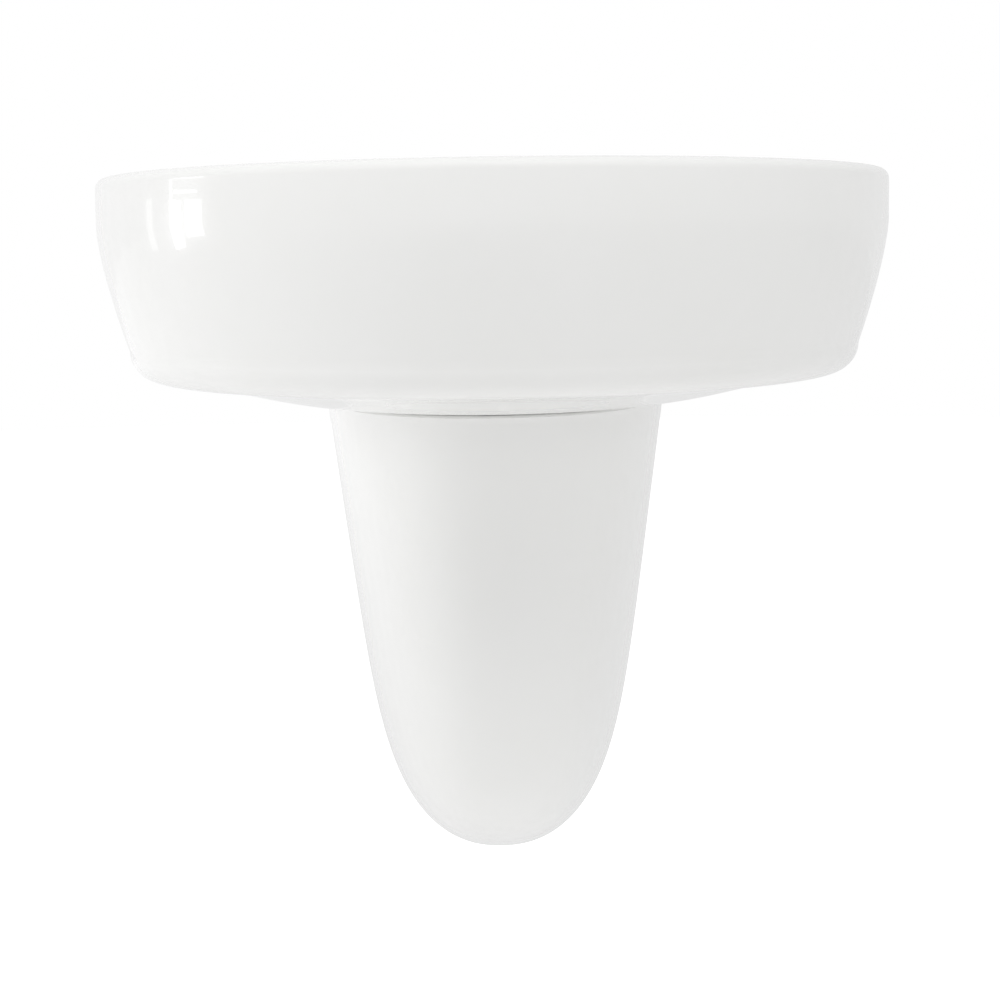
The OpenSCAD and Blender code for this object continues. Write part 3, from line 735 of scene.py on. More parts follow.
def grown(name: str, group: bpy.types.NodeTree, values: dict[str, float | int], finish: Finish,
          place: Matrix) -> bpy.types.Object:
    """Grows a node group's shape into a plain mesh.

    Args:
        name: the object's name.
        group: the node group.
        values: its inputs by name, lengths in metres.
        finish: its material.
        place: where it goes, in millimetres.

    Returns:
        The grown piece.
    """
    made = bpy.data.objects.new(name, bpy.data.meshes.new(name))
    bpy.context.scene.collection.objects.link(made)
    step = made.modifiers.new("grow", "NODES")
    step.node_group = group
    for item in group.interface.items_tree:
        if item.in_out == "INPUT":
            step[item.identifier] = values.get(item.name, finish.material())
    apply_modifiers(made)
    at = Matrix.Translation(place.translation * MM) @ place.to_3x3().to_4x4()
    made.data.transform(at)
    clean(made)
    return made


@dataclass(frozen=True)
class ScrewThread:
    """A screw thread.

    Attributes:
        r: radius of its crest.
        pitch: rise of one turn.
        ridge: height of the crest over its foot.
    """

    r: float
    pitch: float
    ridge: float

    @property
    def root(self) -> float:
        """Radius of its foot."""
        return self.r - self.ridge

    def wind(self, low: float, high: float, finish: Finish, place: Matrix) -> bpy.types.Object:
        """Makes the thread's ridge.

        Args:
            low: where it starts along its axis.
            high: where it ends.
            finish: its material.
            place: where its axis goes.

        Returns:
            The ridge.
        """
        group = bpy.data.node_groups.get("screw_thread") or thread_group()
        # The inner half of the kite-shaped section lies in the core.
        values = {"Turns": (high - low) / self.pitch, "Length": (high - low) * MM,
                  "Radius": self.root * MM, "Ridge": 2 * self.ridge * MM,
                  "Half Width": 0.45 * self.pitch * MM}
        return grown("thread", group, values, finish, place @ Matrix.Translation((0, 0, low)))


# The 1 1/4 inch pipe thread of the waste, the trap and their nuts.
PIPE_THREAD = ScrewThread(r=21, pitch=2.31, ridge=0.9)


def ribs(count: int, r: float, low: float, high: float, thickness: float, finish: Finish,
         place: Matrix) -> bpy.types.Object:
    """Makes a ring of half-round ribs.

    Args:
        count: how many.
        r: radius of their circle.
        low: where they start along the axis.
        high: where they end.
        thickness: radius of a rib.
        finish: their material.
        place: where their axis goes.

    Returns:
        The ribs.
    """
    group = bpy.data.node_groups.get("ring_of_ribs") or ribs_group()
    values = {"Count": count, "Radius": r * MM, "Length": (high - low) * MM, "Thickness": thickness * MM}
    return grown("ribs", group, values, finish, place @ Matrix.Translation((0, 0, low)))


# The china basin

@dataclass
class Basin:
    """The D-shaped basin: bowl, rim, deck, skirt, underside and the hollow inside the casting.

    seat_turn is the share of widest_y at which the seat's front curve starts.
    """

    # Outer form
    width: float = 550
    depth: float = 450
    widest_y: float = 88
    corner_r: float = 6
    rim_z: float = 60
    rim_r: float = 7
    rim_straight: float = 34
    skirt_h: float = 137
    skirt_draft: float = 20
    draft_power: float = 1.4
    foot_r: float = 20
    # This puts the seat 0.6 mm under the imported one, for a thin seam, so the pads sink into the china.
    belly_h: float = 16.1
    # Thicknesses of the china
    china_t: float = 9
    deck_t: float = 15
    back_t: float = 12
    # Bowl
    rim_w: float = 30
    bowl_rear_y: float = 122
    bowl_mid_y: float = 200
    bowl_depth: float = 130
    corner_power: float = 4
    bowl_power: float = 2.3
    lip_r: float = 8
    floor_r: float = 38
    # Waste hole, its recess and its boss
    waste_y: float = 198
    waste_hole_r: float = 23
    flange_r: float = 32
    recess_depth: float = 5
    recess_gap: float = 1.5
    recess_edge: float = 1.6
    boss_h: float = 13.4
    boss_r: float = 38
    # Overflow hole, the seat of its ring, and the duct down to the waste
    overflow_drop: float = 30
    overflow_r: float = 11
    ring_seat: float = 4
    duct_r: float = 6.5
    duct_wall: float = 6
    duct_off: float = 15
    duct_drop: float = 4
    # Tap hole and wall bolts
    tap_y: float = 60
    tap_hole_r: float = 17.5
    tap_edge: float = 1.4
    bolt_spacing: float = 280
    bolt_hole_r: float = 8
    # Seat of the half pedestal, its opening, and the openings beside it
    seat_half: float = 138
    seat_depth: float = 305
    seat_turn: float = 0.6
    mouth_half: float = 111
    mouth_depth: float = 287
    mouth_r: float = 2
    access_w: float = 430
    access_y: float = 122
    access_r: float = 6
    access_gap: float = 6
    # Points round a ring
    corner_steps: int = 6
    side_steps: int = 8
    front_steps: int = 132
    back_steps: int = 24
    # Rings along each stretch, those of the hollow over the seat, in the foot and under the bowl
    bowl_rows: int = 40
    edge_rows: int = 9
    skirt_rows: int = 22
    foot_rows: int = 13
    under_rows: int = 19
    mouth_rows: int = 5
    hollow_rows: tuple[int, int, int] = (8, 7, 16)
    # Worked out
    skirt_z: float = field(init=False)
    seat_z: float = field(init=False)
    floor_z: float = field(init=False)
    recess_z: float = field(init=False)
    boss_z: float = field(init=False)
    overflow_z: float = field(init=False)
    roof_z: float = field(init=False)
    band_z: float = field(init=False)
    foot_top_z: float = field(init=False)
    foot_inset: float = field(init=False)
    outline: np.ndarray = field(init=False)

    def __post_init__(self) -> None:
        """Works out the levels and the rim's outline."""
        self.skirt_z = self.rim_z - self.skirt_h
        self.seat_z = self.skirt_z - self.belly_h
        self.floor_z = self.rim_z - self.bowl_depth
        self.recess_z = self.floor_z - self.recess_depth
        self.boss_z = self.seat_z - self.boss_h
        self.overflow_z = self.rim_z - self.overflow_drop
        self.roof_z = self.rim_z - self.deck_t
        self.band_z = self.rim_z - self.rim_straight
        self.foot_top_z = self.skirt_z + self.foot_r
        self.foot_inset = self.skirt_draft + self.foot_r
        self.outline = self.d_ring(self.width / 2, self.depth, self.widest_y, 0, self.rim_z)

    def d_ring(self, half: float, front: float, widest: float, back: float, z: float) -> np.ndarray:
        """Returns the D outline at one height, clockwise from above.

        Args:
            half: half of its width.
            front: distance from the wall to its front.
            widest: distance from the wall to where the front curve starts.
            back: distance from the wall to its straight back.
            z: its height.

        Returns:
            The ring's points.
        """
        r, steps = self.corner_r, self.side_steps
        corner = np.radians(np.linspace(0, 90, self.corner_steps + 1))
        across, along = r * (1 - np.sin(corner)), r * (1 - np.cos(corner))
        side = -back - r - (widest - back - r) * np.arange(1, steps + 1) / (steps + 1)
        front_turn = np.linspace(0, math.pi, self.front_steps + 1)
        spread = np.linspace(-1, 1, self.back_steps + 2)[1:-1]
        x = np.concatenate([half - across, np.full(steps, half), half * np.cos(front_turn),
                            np.full(steps, -half), across[::-1] - half, (half - r) * spread])
        y = np.concatenate([-back - along, side, -widest - (front - widest) * np.sin(front_turn),
                            side[::-1], -back - along[::-1], np.full(self.back_steps, -back)])
        return level(np.column_stack([x, y]), z)

    def wall(self, z: float, inset: float, back: float = 0) -> np.ndarray:
        """Returns the outer wall's ring, drawn in by an inset."""
        return self.d_ring(self.width / 2 - inset, self.depth - inset, self.widest_y, back, z)

    def wall_inset(self, z: float) -> float:
        """Returns how far the outer wall draws in at a height.

        Args:
            z: the height.

        Returns:
            The inset.
        """
        if z >= self.band_z:
            return 0.0
        if z >= self.foot_top_z:
            share = (self.band_z - z) / (self.band_z - self.foot_top_z)
            return self.skirt_draft * share ** self.draft_power
        drop = self.foot_top_z - z
        return self.foot_inset - math.sqrt(max(0.0, self.foot_r ** 2 - drop ** 2))

    def bowl_edge(self, grow: float) -> np.ndarray:
        """Returns the bowl's edge, which keeps off the rim and rounds into a rear line.

        Args:
            grow: distance outside the bowl's own edge.

        Returns:
            Rows of x and y.
        """
        rel = self.outline[:, :2] + [0, self.bowl_mid_y]
        turn = np.arctan2(rel[:, 1], rel[:, 0])
        to_rim = np.hypot(rel[:, 0], rel[:, 1]) - self.rim_w + grow
        to_rear = np.maximum(0, np.sin(turn)) / (self.bowl_mid_y - self.bowl_rear_y + grow)
        r = (to_rim ** -self.corner_power + to_rear ** self.corner_power) ** (-1 / self.corner_power)
        return np.column_stack([r * np.cos(turn), r * np.sin(turn) - self.bowl_mid_y])

    def bowl(self, angle: float, grow: float) -> np.ndarray:
        """Returns a ring of the bowl: angle 0 is under the lip and 90 the floor round the waste.

        Args:
            angle: the ring's place, in degrees.
            grow: distance outside the bowl's surface.

        Returns:
            The ring's points.
        """
        edge = self.bowl_edge(grow) + [0, self.waste_y]
        reach = np.hypot(edge[:, 0], edge[:, 1])
        turn, power = math.radians(angle), 2 / self.bowl_power
        share = max(0.0, math.cos(turn)) ** power
        r = (self.floor_r + grow) * (1 - share) + reach * share
        drop = (self.bowl_depth - self.lip_r + grow) * math.sin(turn) ** power
        flat = edge / reach[:, None] * r[:, None] - [0, self.waste_y]
        return level(flat, self.rim_z - self.lip_r - drop)

    def lip(self, angle: float) -> np.ndarray:
        """Returns a ring of the rounded lip between the bowl and the flat rim.

        Args:
            angle: the ring's place, in degrees: 0 is at the bowl and 90 on the rim.

        Returns:
            The ring's points.
        """
        turn = math.radians(angle)
        return level(self.bowl_edge(self.lip_r * (1 - math.cos(turn))),
                     self.rim_z - self.lip_r * (1 - math.sin(turn)))

    def shell(self) -> tuple[Rings, int]:
        """Lines up every ring of the china, from the bowl's floor round the outside to the hollow inside.

        Returns:
            The rings, in order, and how many of them are glazed.
        """
        seat_widest = self.seat_turn * self.widest_y
        seat = self.d_ring(self.seat_half, self.seat_depth, seat_widest, 0, self.seat_z)
        mouth = self.d_ring(self.mouth_half, self.mouth_depth, seat_widest, self.back_t, self.seat_z)
        glazed = self.bowl_rings() + self.skirt_rings(seat) + self.mouth_lip(mouth)
        return glazed + self.hollow_rings(mouth), len(glazed)

    def bowl_rings(self) -> Rings:
        """Lines up the bowl's rings, its rounded lip's and two on the flat rim, near its edges.

        Returns:
            The rings, from the floor outwards.
        """
        rings = [self.bowl(a, 0) for a in np.linspace(90, 0, self.bowl_rows)]
        rings += [self.lip(a) for a in np.linspace(0, 90, self.edge_rows)[1:]]
        rim_edge = self.wall(self.rim_z, self.rim_r)
        return rings + [self.blend(rings[-1], rim_edge, s, self.rim_z) for s in (0.03, 0.97)]

    def skirt_rings(self, seat: np.ndarray) -> Rings:
        """Lines up the outer rings: rounded rim, tapering skirt, rounded foot and underside.

        Args:
            seat: outline of the seat, where the underside ends.

        Returns:
            The rings, from the rim downwards.
        """
        rings = [self.wall(self.rim_z - self.rim_r * (1 - math.cos(a)), self.rim_r * (1 - math.sin(a)))
                 for a in np.radians(np.linspace(0, 90, self.edge_rows))]
        foot_turn = np.radians(np.linspace(0, 90, self.foot_rows)[1:-1])
        levels = [*np.linspace(self.band_z, self.foot_top_z, self.skirt_rows),
                  *(self.foot_top_z - self.foot_r * math.sin(a) for a in foot_turn)]
        rings += [self.wall(z, self.wall_inset(z)) for z in levels]
        foot = self.wall(self.skirt_z, self.foot_inset)
        return rings + [self.blend(foot, seat, s, self.skirt_z - self.belly_h * self.ease(s))
                        for s in np.linspace(0, 1, self.under_rows)]

    def hollow_rings(self, mouth: np.ndarray) -> Rings:
        """Lines up the rings inside the casting: over the seat, up the skirt, under the deck and bowl.

        Args:
            mouth: ring of the opening in the seat.

        Returns:
            The rings, from the opening inwards.
        """
        over_seat, in_foot, under_bowl = self.hollow_rows
        inner_foot = self.wall(self.skirt_z + self.china_t, self.foot_inset, self.back_t)
        inner_r = self.foot_r - self.china_t
        rings = [self.blend(mouth, inner_foot, s, self.seat_z + self.china_t + self.belly_h * self.ease(s))
                 for s in np.linspace(0, 0.75, over_seat)]
        rings += [self.wall(self.foot_top_z - inner_r * math.sin(a),
                            self.foot_inset - inner_r * math.cos(a), self.back_t)
                  for a in np.radians(np.linspace(90, 0, in_foot))]
        rings += [self.wall(z, self.wall_inset(z) + self.china_t, self.back_t)
                  for z in ((self.foot_top_z + self.band_z) / 2, self.band_z, self.roof_z)]
        drop = (self.rim_z - self.lip_r - self.roof_z) / (self.bowl_depth - self.lip_r + self.china_t)
        start = math.degrees(math.asin(drop ** (self.bowl_power / 2)))
        return rings + [self.bowl(a, self.china_t) for a in np.linspace(start, 90, under_bowl)]

    def mouth_lip(self, mouth: np.ndarray) -> Rings:
        """Rounds the edge of the opening in the seat.

        Args:
            mouth: ring of the opening.

        Returns:
            The rounding's rings.
        """
        r = self.mouth_r
        rings = []
        for turn in np.radians(np.linspace(0, 90, self.mouth_rows)):
            ring = mouth.copy()
            ring[:, :2] *= 1 + r * (1 - math.sin(turn)) / self.mouth_half
            ring[:, 2] += r * (1 - math.cos(turn))
            rings.append(ring)
        return rings

    @staticmethod
    def ease(share: float) -> float:
        """Smooth step from zero to one."""
        return share * share * (3 - 2 * share)

    @staticmethod
    def blend(one: np.ndarray, two: np.ndarray, share: float, z: float) -> np.ndarray:
        """Returns a level ring between two others.

        Args:
            one: the first ring.
            two: the second ring.
            share: how far the new ring has gone from the first to the second.
            z: its height.

        Returns:
            The ring's points.
        """
        ring = one * (1 - share) + two * share
        ring[:, 2] = z
        return ring

    def build(self) -> None:
        """Builds the china, cuts its holes and gives it to the basin's body."""
        shell, glazed = self.shell()
        points, faces = skin([ring[::-1] for ring in shell])
        china = piece("china_basin", points, faces, GLAZE)
        china.data.materials.append(BISQUE.material())
        # The last two faces close the ends: the bowl's floor, and its underside in the hollow.
        count, bowl_floor = len(shell[0]), len(faces) - 2
        near_wall, faces_wall = -0.6 * MM, 0.9
        for face in china.data.polygons:
            inside = face.index // count >= glazed and face.index != bowl_floor
            on_wall = face.center.y > near_wall and abs(face.normal.y) > faces_wall
            face.material_index = 1 if inside or on_wall else 0
        clean(china)
        duct = self.bars(self.duct_r + self.duct_wall, self.roof_z + BITE)
        carve(china, duct + [self.boss()], Carving.JOIN)
        carve(china, self.cutters(), Carving.CUT)
        fit(china, GLAZE, "basin")

    def bars(self, r: float, top: float) -> list[bpy.types.Object]:
        """Makes the two bars of the overflow duct, as its china or as its bore.

        Args:
            r: their radius.
            top: where the upright bar ends.

        Returns:
            The upright bar and the slanting one.
        """
        # The slanting bar is a little thinner, so that no face of the two lies in the other's.
        slack = 0.5
        elbow_z = self.floor_z - self.duct_drop
        end_z = (self.recess_z + self.boss_z) / 2
        duct_y = self.bowl_rear_y - self.duct_off
        start = Vector((0, -duct_y + r / 2, elbow_z))
        run = Vector((0, -self.waste_y, end_z)) - start
        slant = Matrix.Translation(start) @ run.to_track_quat("Z", "Y").to_matrix().to_4x4()
        upright = Matrix.Translation((0, -duct_y, elbow_z - r / 2))
        return [rod("duct_drop", r, top - elbow_z + r / 2, upright, finish=BISQUE),
                rod("duct_run", r - slack, run.length, slant, finish=BISQUE)]

    def boss(self) -> bpy.types.Object:
        """Makes the boss round the waste hole, under the seat."""
        return rod("boss", self.boss_r, self.floor_z - self.china_t + BITE - self.boss_z,
                   Matrix.Translation((0, -self.waste_y, self.boss_z)))

    def cutters(self) -> list[bpy.types.Object]:
        """Makes every tool that cuts the china.

        Returns:
            The tools.
        """
        lead, over = 20, 10
        overflow = along_y(0, -self.bowl_rear_y - lead, self.overflow_z)
        tools = self.bars(self.duct_r, self.overflow_z)
        tools += [
            rod("overflow_seat", self.overflow_r + self.ring_seat, lead, overflow),
            rod("overflow_hole", self.overflow_r, lead + self.duct_off + 2 * PAST, overflow),
            rod("waste_hole", self.waste_hole_r, self.floor_z - self.boss_z + over,
                Matrix.Translation((0, -self.waste_y, self.boss_z - PAST))),
            rod("waste_recess", self.flange_r + self.recess_gap, self.recess_depth,
                Matrix.Translation((0, -self.waste_y, self.recess_z)), self.recess_edge),
            rod("tap_hole", self.tap_hole_r, self.deck_t + PAST,
                Matrix.Translation((0, -self.tap_y, self.roof_z - PAST)), self.tap_edge)]
        for side in (-1, 1):
            tools.append(rod("bolt_hole", self.bolt_hole_r, self.back_t + 2 * PAST,
                             along_y(side * self.bolt_spacing / 2, -self.back_t - PAST, 0)))
            tools.append(self.access(side))
        return tools

    def access(self, side: int) -> bpy.types.Object:
        """Makes the tool for one of the two openings beside the seat, with rounded upright corners.

        Args:
            side: 1 for the right one, -1 for the left one.

        Returns:
            The tool.
        """
        near, far, r = self.seat_half + self.access_gap, self.access_w / 2, self.access_r
        off_back, over = 3, 6
        low = np.array([near if side > 0 else -far, -self.access_y])
        high = np.array([far if side > 0 else -near, -self.back_t - off_back])
        turn = np.radians(np.arange(0, 360, 90 / 8))
        way = np.column_stack([np.cos(turn), np.sin(turn)])
        flat = np.where(way >= -ON_AXIS, high - r, low + r) + r * way
        low_z, high_z = self.seat_z - 2 * PAST, self.skirt_z + self.china_t + over
        return closed("access", [level(flat, low_z), level(flat, high_z)], GLAZE)


# The half pedestal

@dataclass
class HalfPedestal:
    """The U-shaped china cover under the basin, with its two fixing lugs and the pads on its top edge.

    A taper is the share of the top's size that is gone at the foot, and a higher power makes a curve
    squarer.
    """

    # Outer form
    width: float = 248
    depth: float = 300
    height: float = 341
    taper: float = 0.36
    depth_taper: float = 0.2
    plan_power: float = 2.3
    width_power: float = 7.6
    depth_power: float = 5
    top_z: float = -94
    # The china: walls, extra thickness at the tip, and the rounding of the edges
    china_t: float = 9
    tip_extra: float = 1
    edge_r: float = 2.6
    # Fixing lugs and their holes
    lug_drop: float = 50
    lug_h: float = 30
    lug_t: float = 10
    lug_back: float = 2
    lug_in: float = 17
    lug_out: float = 3
    lug_edge: float = 2.2
    lug_hole_r: float = 5.5
    stud_spacing: float = 170
    # Pads in the seam, at these turns round the top edge
    pad_turns: tuple[float, ...] = (42, 90, 138)
    pad_half: float = 10
    pad_inset: float = 1.5
    pad_edge: float = 0.5
    # Loops from top to tip, and points round one face
    rows: int = 84
    row_power: float = 1.6
    around: int = 96
    # Worked out
    tip_t: float = field(init=False)
    stud_z: float = field(init=False)

    def __post_init__(self) -> None:
        """Works out the china's thickness at the tip and the height of the studs."""
        self.tip_t = self.china_t + self.tip_extra
        self.stud_z = self.top_z - self.lug_drop

    def half(self, share: float, inset: float) -> float:
        """Returns the half width at a share of the height."""
        top, low = self.width / 2 - inset, self.width / 2 * (1 - self.taper) - inset
        return (top + (low - top) * share) * math.sqrt(max(0.0, 1 - share ** self.width_power))

    def deep(self, share: float, inset: float) -> float:
        """Returns the depth at a share of the height."""
        top, low = self.depth - inset, self.depth * (1 - self.depth_taper) - inset
        return (top + (low - top) * share) * math.sqrt(max(0.0, 1 - share ** self.depth_power))

    def curve(self, share: float, inset: float, z: float, edge: float) -> np.ndarray:
        """Returns the plan curve from the right wall edge to the left one, stopped short of the wall.

        Args:
            share: share of the height.
            inset: distance inside the outer face.
            z: its height.
            edge: distance from the wall at which it stops.

        Returns:
            The curve's points.
        """
        half, deep = self.half(share, inset), self.deep(share, inset)
        first = math.asin(min(1.0, edge / max(deep, ON_AXIS)) ** (self.plan_power / 2))
        turn = np.linspace(first, math.pi - first, self.around + 1)
        across, power = np.cos(turn), 2 / self.plan_power
        x = half * np.sign(across) * np.abs(across) ** power
        y = -deep * np.sin(turn) ** power
        return level(np.column_stack([x, y]), z)

    def loop(self, share: float, shrink: float, drop: float) -> np.ndarray:
        """Returns one closed loop: the outer face, a rounded wall edge, the inner face and the other edge.

        Args:
            share: share of the height.
            shrink: distance that both faces draw in, for the rounded top edge.
            drop: distance under the loop's own level.

        Returns:
            The loop's points.
        """
        quarter, least = 0.25, 0.01
        out_z = self.top_z - self.height * share - drop
        in_z = self.top_z - (self.height - self.tip_t) * share - drop
        r = min(self.edge_r, quarter * self.half(share, 0) + least, quarter * self.deep(share, 0) + least)
        outer = self.curve(share, shrink, out_z, r)
        inner = self.curve(share, self.china_t - shrink, in_z, r)[::-1]
        return np.vstack([outer, self.wall_edge(outer[-1], inner[0], r), inner,
                          self.wall_edge(inner[-1], outer[0], r)])

    @staticmethod
    def wall_edge(start: np.ndarray, end: np.ndarray, r: float) -> np.ndarray:
        """Returns the points of a wall edge that is rounded on both sides.

        Args:
            start: last point of the face before it.
            end: first point of the face after it.
            r: radius of the rounding.

        Returns:
            The edge's points.
        """
        side = math.copysign(1.0, end[0] - start[0])
        r = min(r, EDGE_SHARE * abs(end[0] - start[0]))
        turns = np.radians(np.linspace(15, 90, EDGE_POINTS))
        points = []
        for corner, sign, way in ((start, side, turns), (end, -side, turns[::-1])):
            for turn in way:
                points.append([corner[0] + sign * r * (1 - math.cos(turn)),
                               corner[1] * (1 - math.sin(turn)), corner[2]])
        return np.array(points)

    def loops(self) -> Rings:
        """Lines up the cover's loops, from its rounded top edge to just above the tip.

        Returns:
            The loops, in order.
        """
        made = [self.loop(0, self.edge_r * (1 - math.sin(a)), self.edge_r * (1 - math.cos(a)))
                for a in np.radians(np.linspace(0, 75, EDGE_POINTS))]
        under_edge = self.edge_r / self.height
        made.append(self.loop(under_edge, 0, 0))
        shares = 1 - (1 - np.arange(self.rows) / self.rows) ** self.row_power
        return made + [self.loop(s, 0, 0) for s in shares if s > 1.5 * under_edge]

    def build(self) -> None:
        """Builds the cover with its lugs and their holes, and the pads on it."""
        rings = self.loops()
        points, faces = skin(rings, closed_ends=False)
        points, faces = self.close(points, faces, len(rings), len(rings[0]))
        cover = piece("china_half_pedestal", points, faces, GLAZE)
        cover.data.materials.append(BISQUE.material())
        clean(cover, merge=1e-5)
        carve(cover, [self.lug(side) for side in (-1, 1)], Carving.JOIN)
        hole_start = -self.lug_back - self.lug_t - PAST
        carve(cover, [rod("lug_hole", self.lug_hole_r, self.lug_t + 2 * PAST,
                          along_y(side * self.stud_spacing / 2, hole_start, self.stud_z))
                      for side in (-1, 1)], Carving.CUT)
        near_wall, faces_wall = -0.6 * MM, 0.6
        for face in cover.data.polygons:
            on_wall = face.center.y > near_wall and face.normal.y > faces_wall
            face.material_index = 1 if on_wall else 0
        fit(cover, GLAZE, "half_pedestal")
        self.pads()

    def close(self, points: np.ndarray, faces: list[list[int]], count: int,
              size: int) -> tuple[np.ndarray, list[list[int]]]:
        """Closes the top band between the two faces and the tip where they end at the wall.

        Args:
            points: the loops' points.
            faces: the bands' faces.
            count: number of loops.
            size: points in a loop.

        Returns:
            Points and faces of the closed shell.
        """
        # A loop has the outer face's n points, which run to the left, the left wall edge's, the inner
        # face's n points, which run back to the right, and the right wall edge's.
        n, edge = self.around + 1, 2 * EDGE_POINTS
        for i in range(n - 1):
            p = n + edge + (n - 1 - i)
            faces.append([i + 1, i, p, p - 1])
        faces.append([n - 1] + list(range(n + edge, n - 1, -1)))
        faces.append([0] + list(range(size - 1, 2 * n + edge - 2, -1)))
        out_tip = [0, 0, self.top_z - self.height]
        in_tip = [0, 0, self.top_z - self.height + self.tip_t]
        last, a, b = (count - 1) * size, len(points), len(points) + 1
        points = np.vstack([points, [out_tip, in_tip]])
        faces += [[last + i, last + i + 1, a] for i in range(n - 1)]
        faces += [[last + i, last + i + 1, b] for i in range(n + edge, 2 * n + edge - 1)]
        first_edge = list(range(last + n - 1, last + n + edge + 1))
        second_edge = list(range(last + 2 * n + edge - 1, last + size)) + [last]
        faces.append(first_edge + [b, a])
        faces.append(second_edge + [a, b])
        return points, faces

    def lug(self, side: int) -> bpy.types.Object:
        """Makes one fixing lug, with rounded edges.

        Args:
            side: 1 for the right one, -1 for the left one.

        Returns:
            The lug.
        """
        low = (self.lug_drop + self.lug_h / 2) / self.height
        left, right = sorted((side * (self.stud_spacing / 2 - self.lug_in),
                              side * (self.half(low, 0) - self.lug_out)))
        return block("lug", (left, -self.lug_back - self.lug_t, self.stud_z - self.lug_h / 2),
                     (right, -self.lug_back, self.stud_z + self.lug_h / 2), self.lug_edge, GLAZE)

    def pads(self) -> None:
        """Lays the three soft pads that fill the seam, bent along the top edge."""
        low, high = span("pedestal_top_pads", Z)
        line = self.curve(0, self.china_t / 2, 0, 0)[:, :2]
        gone = np.concatenate([[0], np.cumsum(np.hypot(*np.diff(line, axis=0).T))])
        parts = []
        for turn in self.pad_turns:
            middle = np.interp(turn, np.linspace(0, 180, len(line)), gone)
            stops = np.linspace(middle - self.pad_half, middle + self.pad_half, 9)
            at = np.column_stack([np.interp(stops, gone, line[:, 0]), np.interp(stops, gone, line[:, 1])])
            parts.append(self.pad(at, low, high))
        fit(joined("seam_pads", parts), RUBBER, "pedestal_top_pads")

    def pad(self, at: np.ndarray, low: float, high: float) -> bpy.types.Object:
        """Sweeps one pad's rounded section along a short line.

        Args:
            at: points of the line, x and y.
            low: height of its underside.
            high: height of its top.

        Returns:
            The pad.
        """
        # The section is rounded away from the axis, where rounded() would leave its corners sharp.
        half, away = self.china_t / 2 - self.pad_inset, 9
        near, far = away - half, away + half
        section = rounded([(near, low), (far, low), (far, high), (near, high)], self.pad_edge)
        along = np.gradient(at, axis=0)
        across = np.column_stack([-along[:, 1], along[:, 0]]) / np.hypot(*along.T)[:, None]
        rings = [np.array([[x + (r - away) * nx, y + (r - away) * ny, z] for r, z in section])
                 for (x, y), (nx, ny) in zip(at, across)]
        return closed("pad", rings, RUBBER)


# The waste and its plug

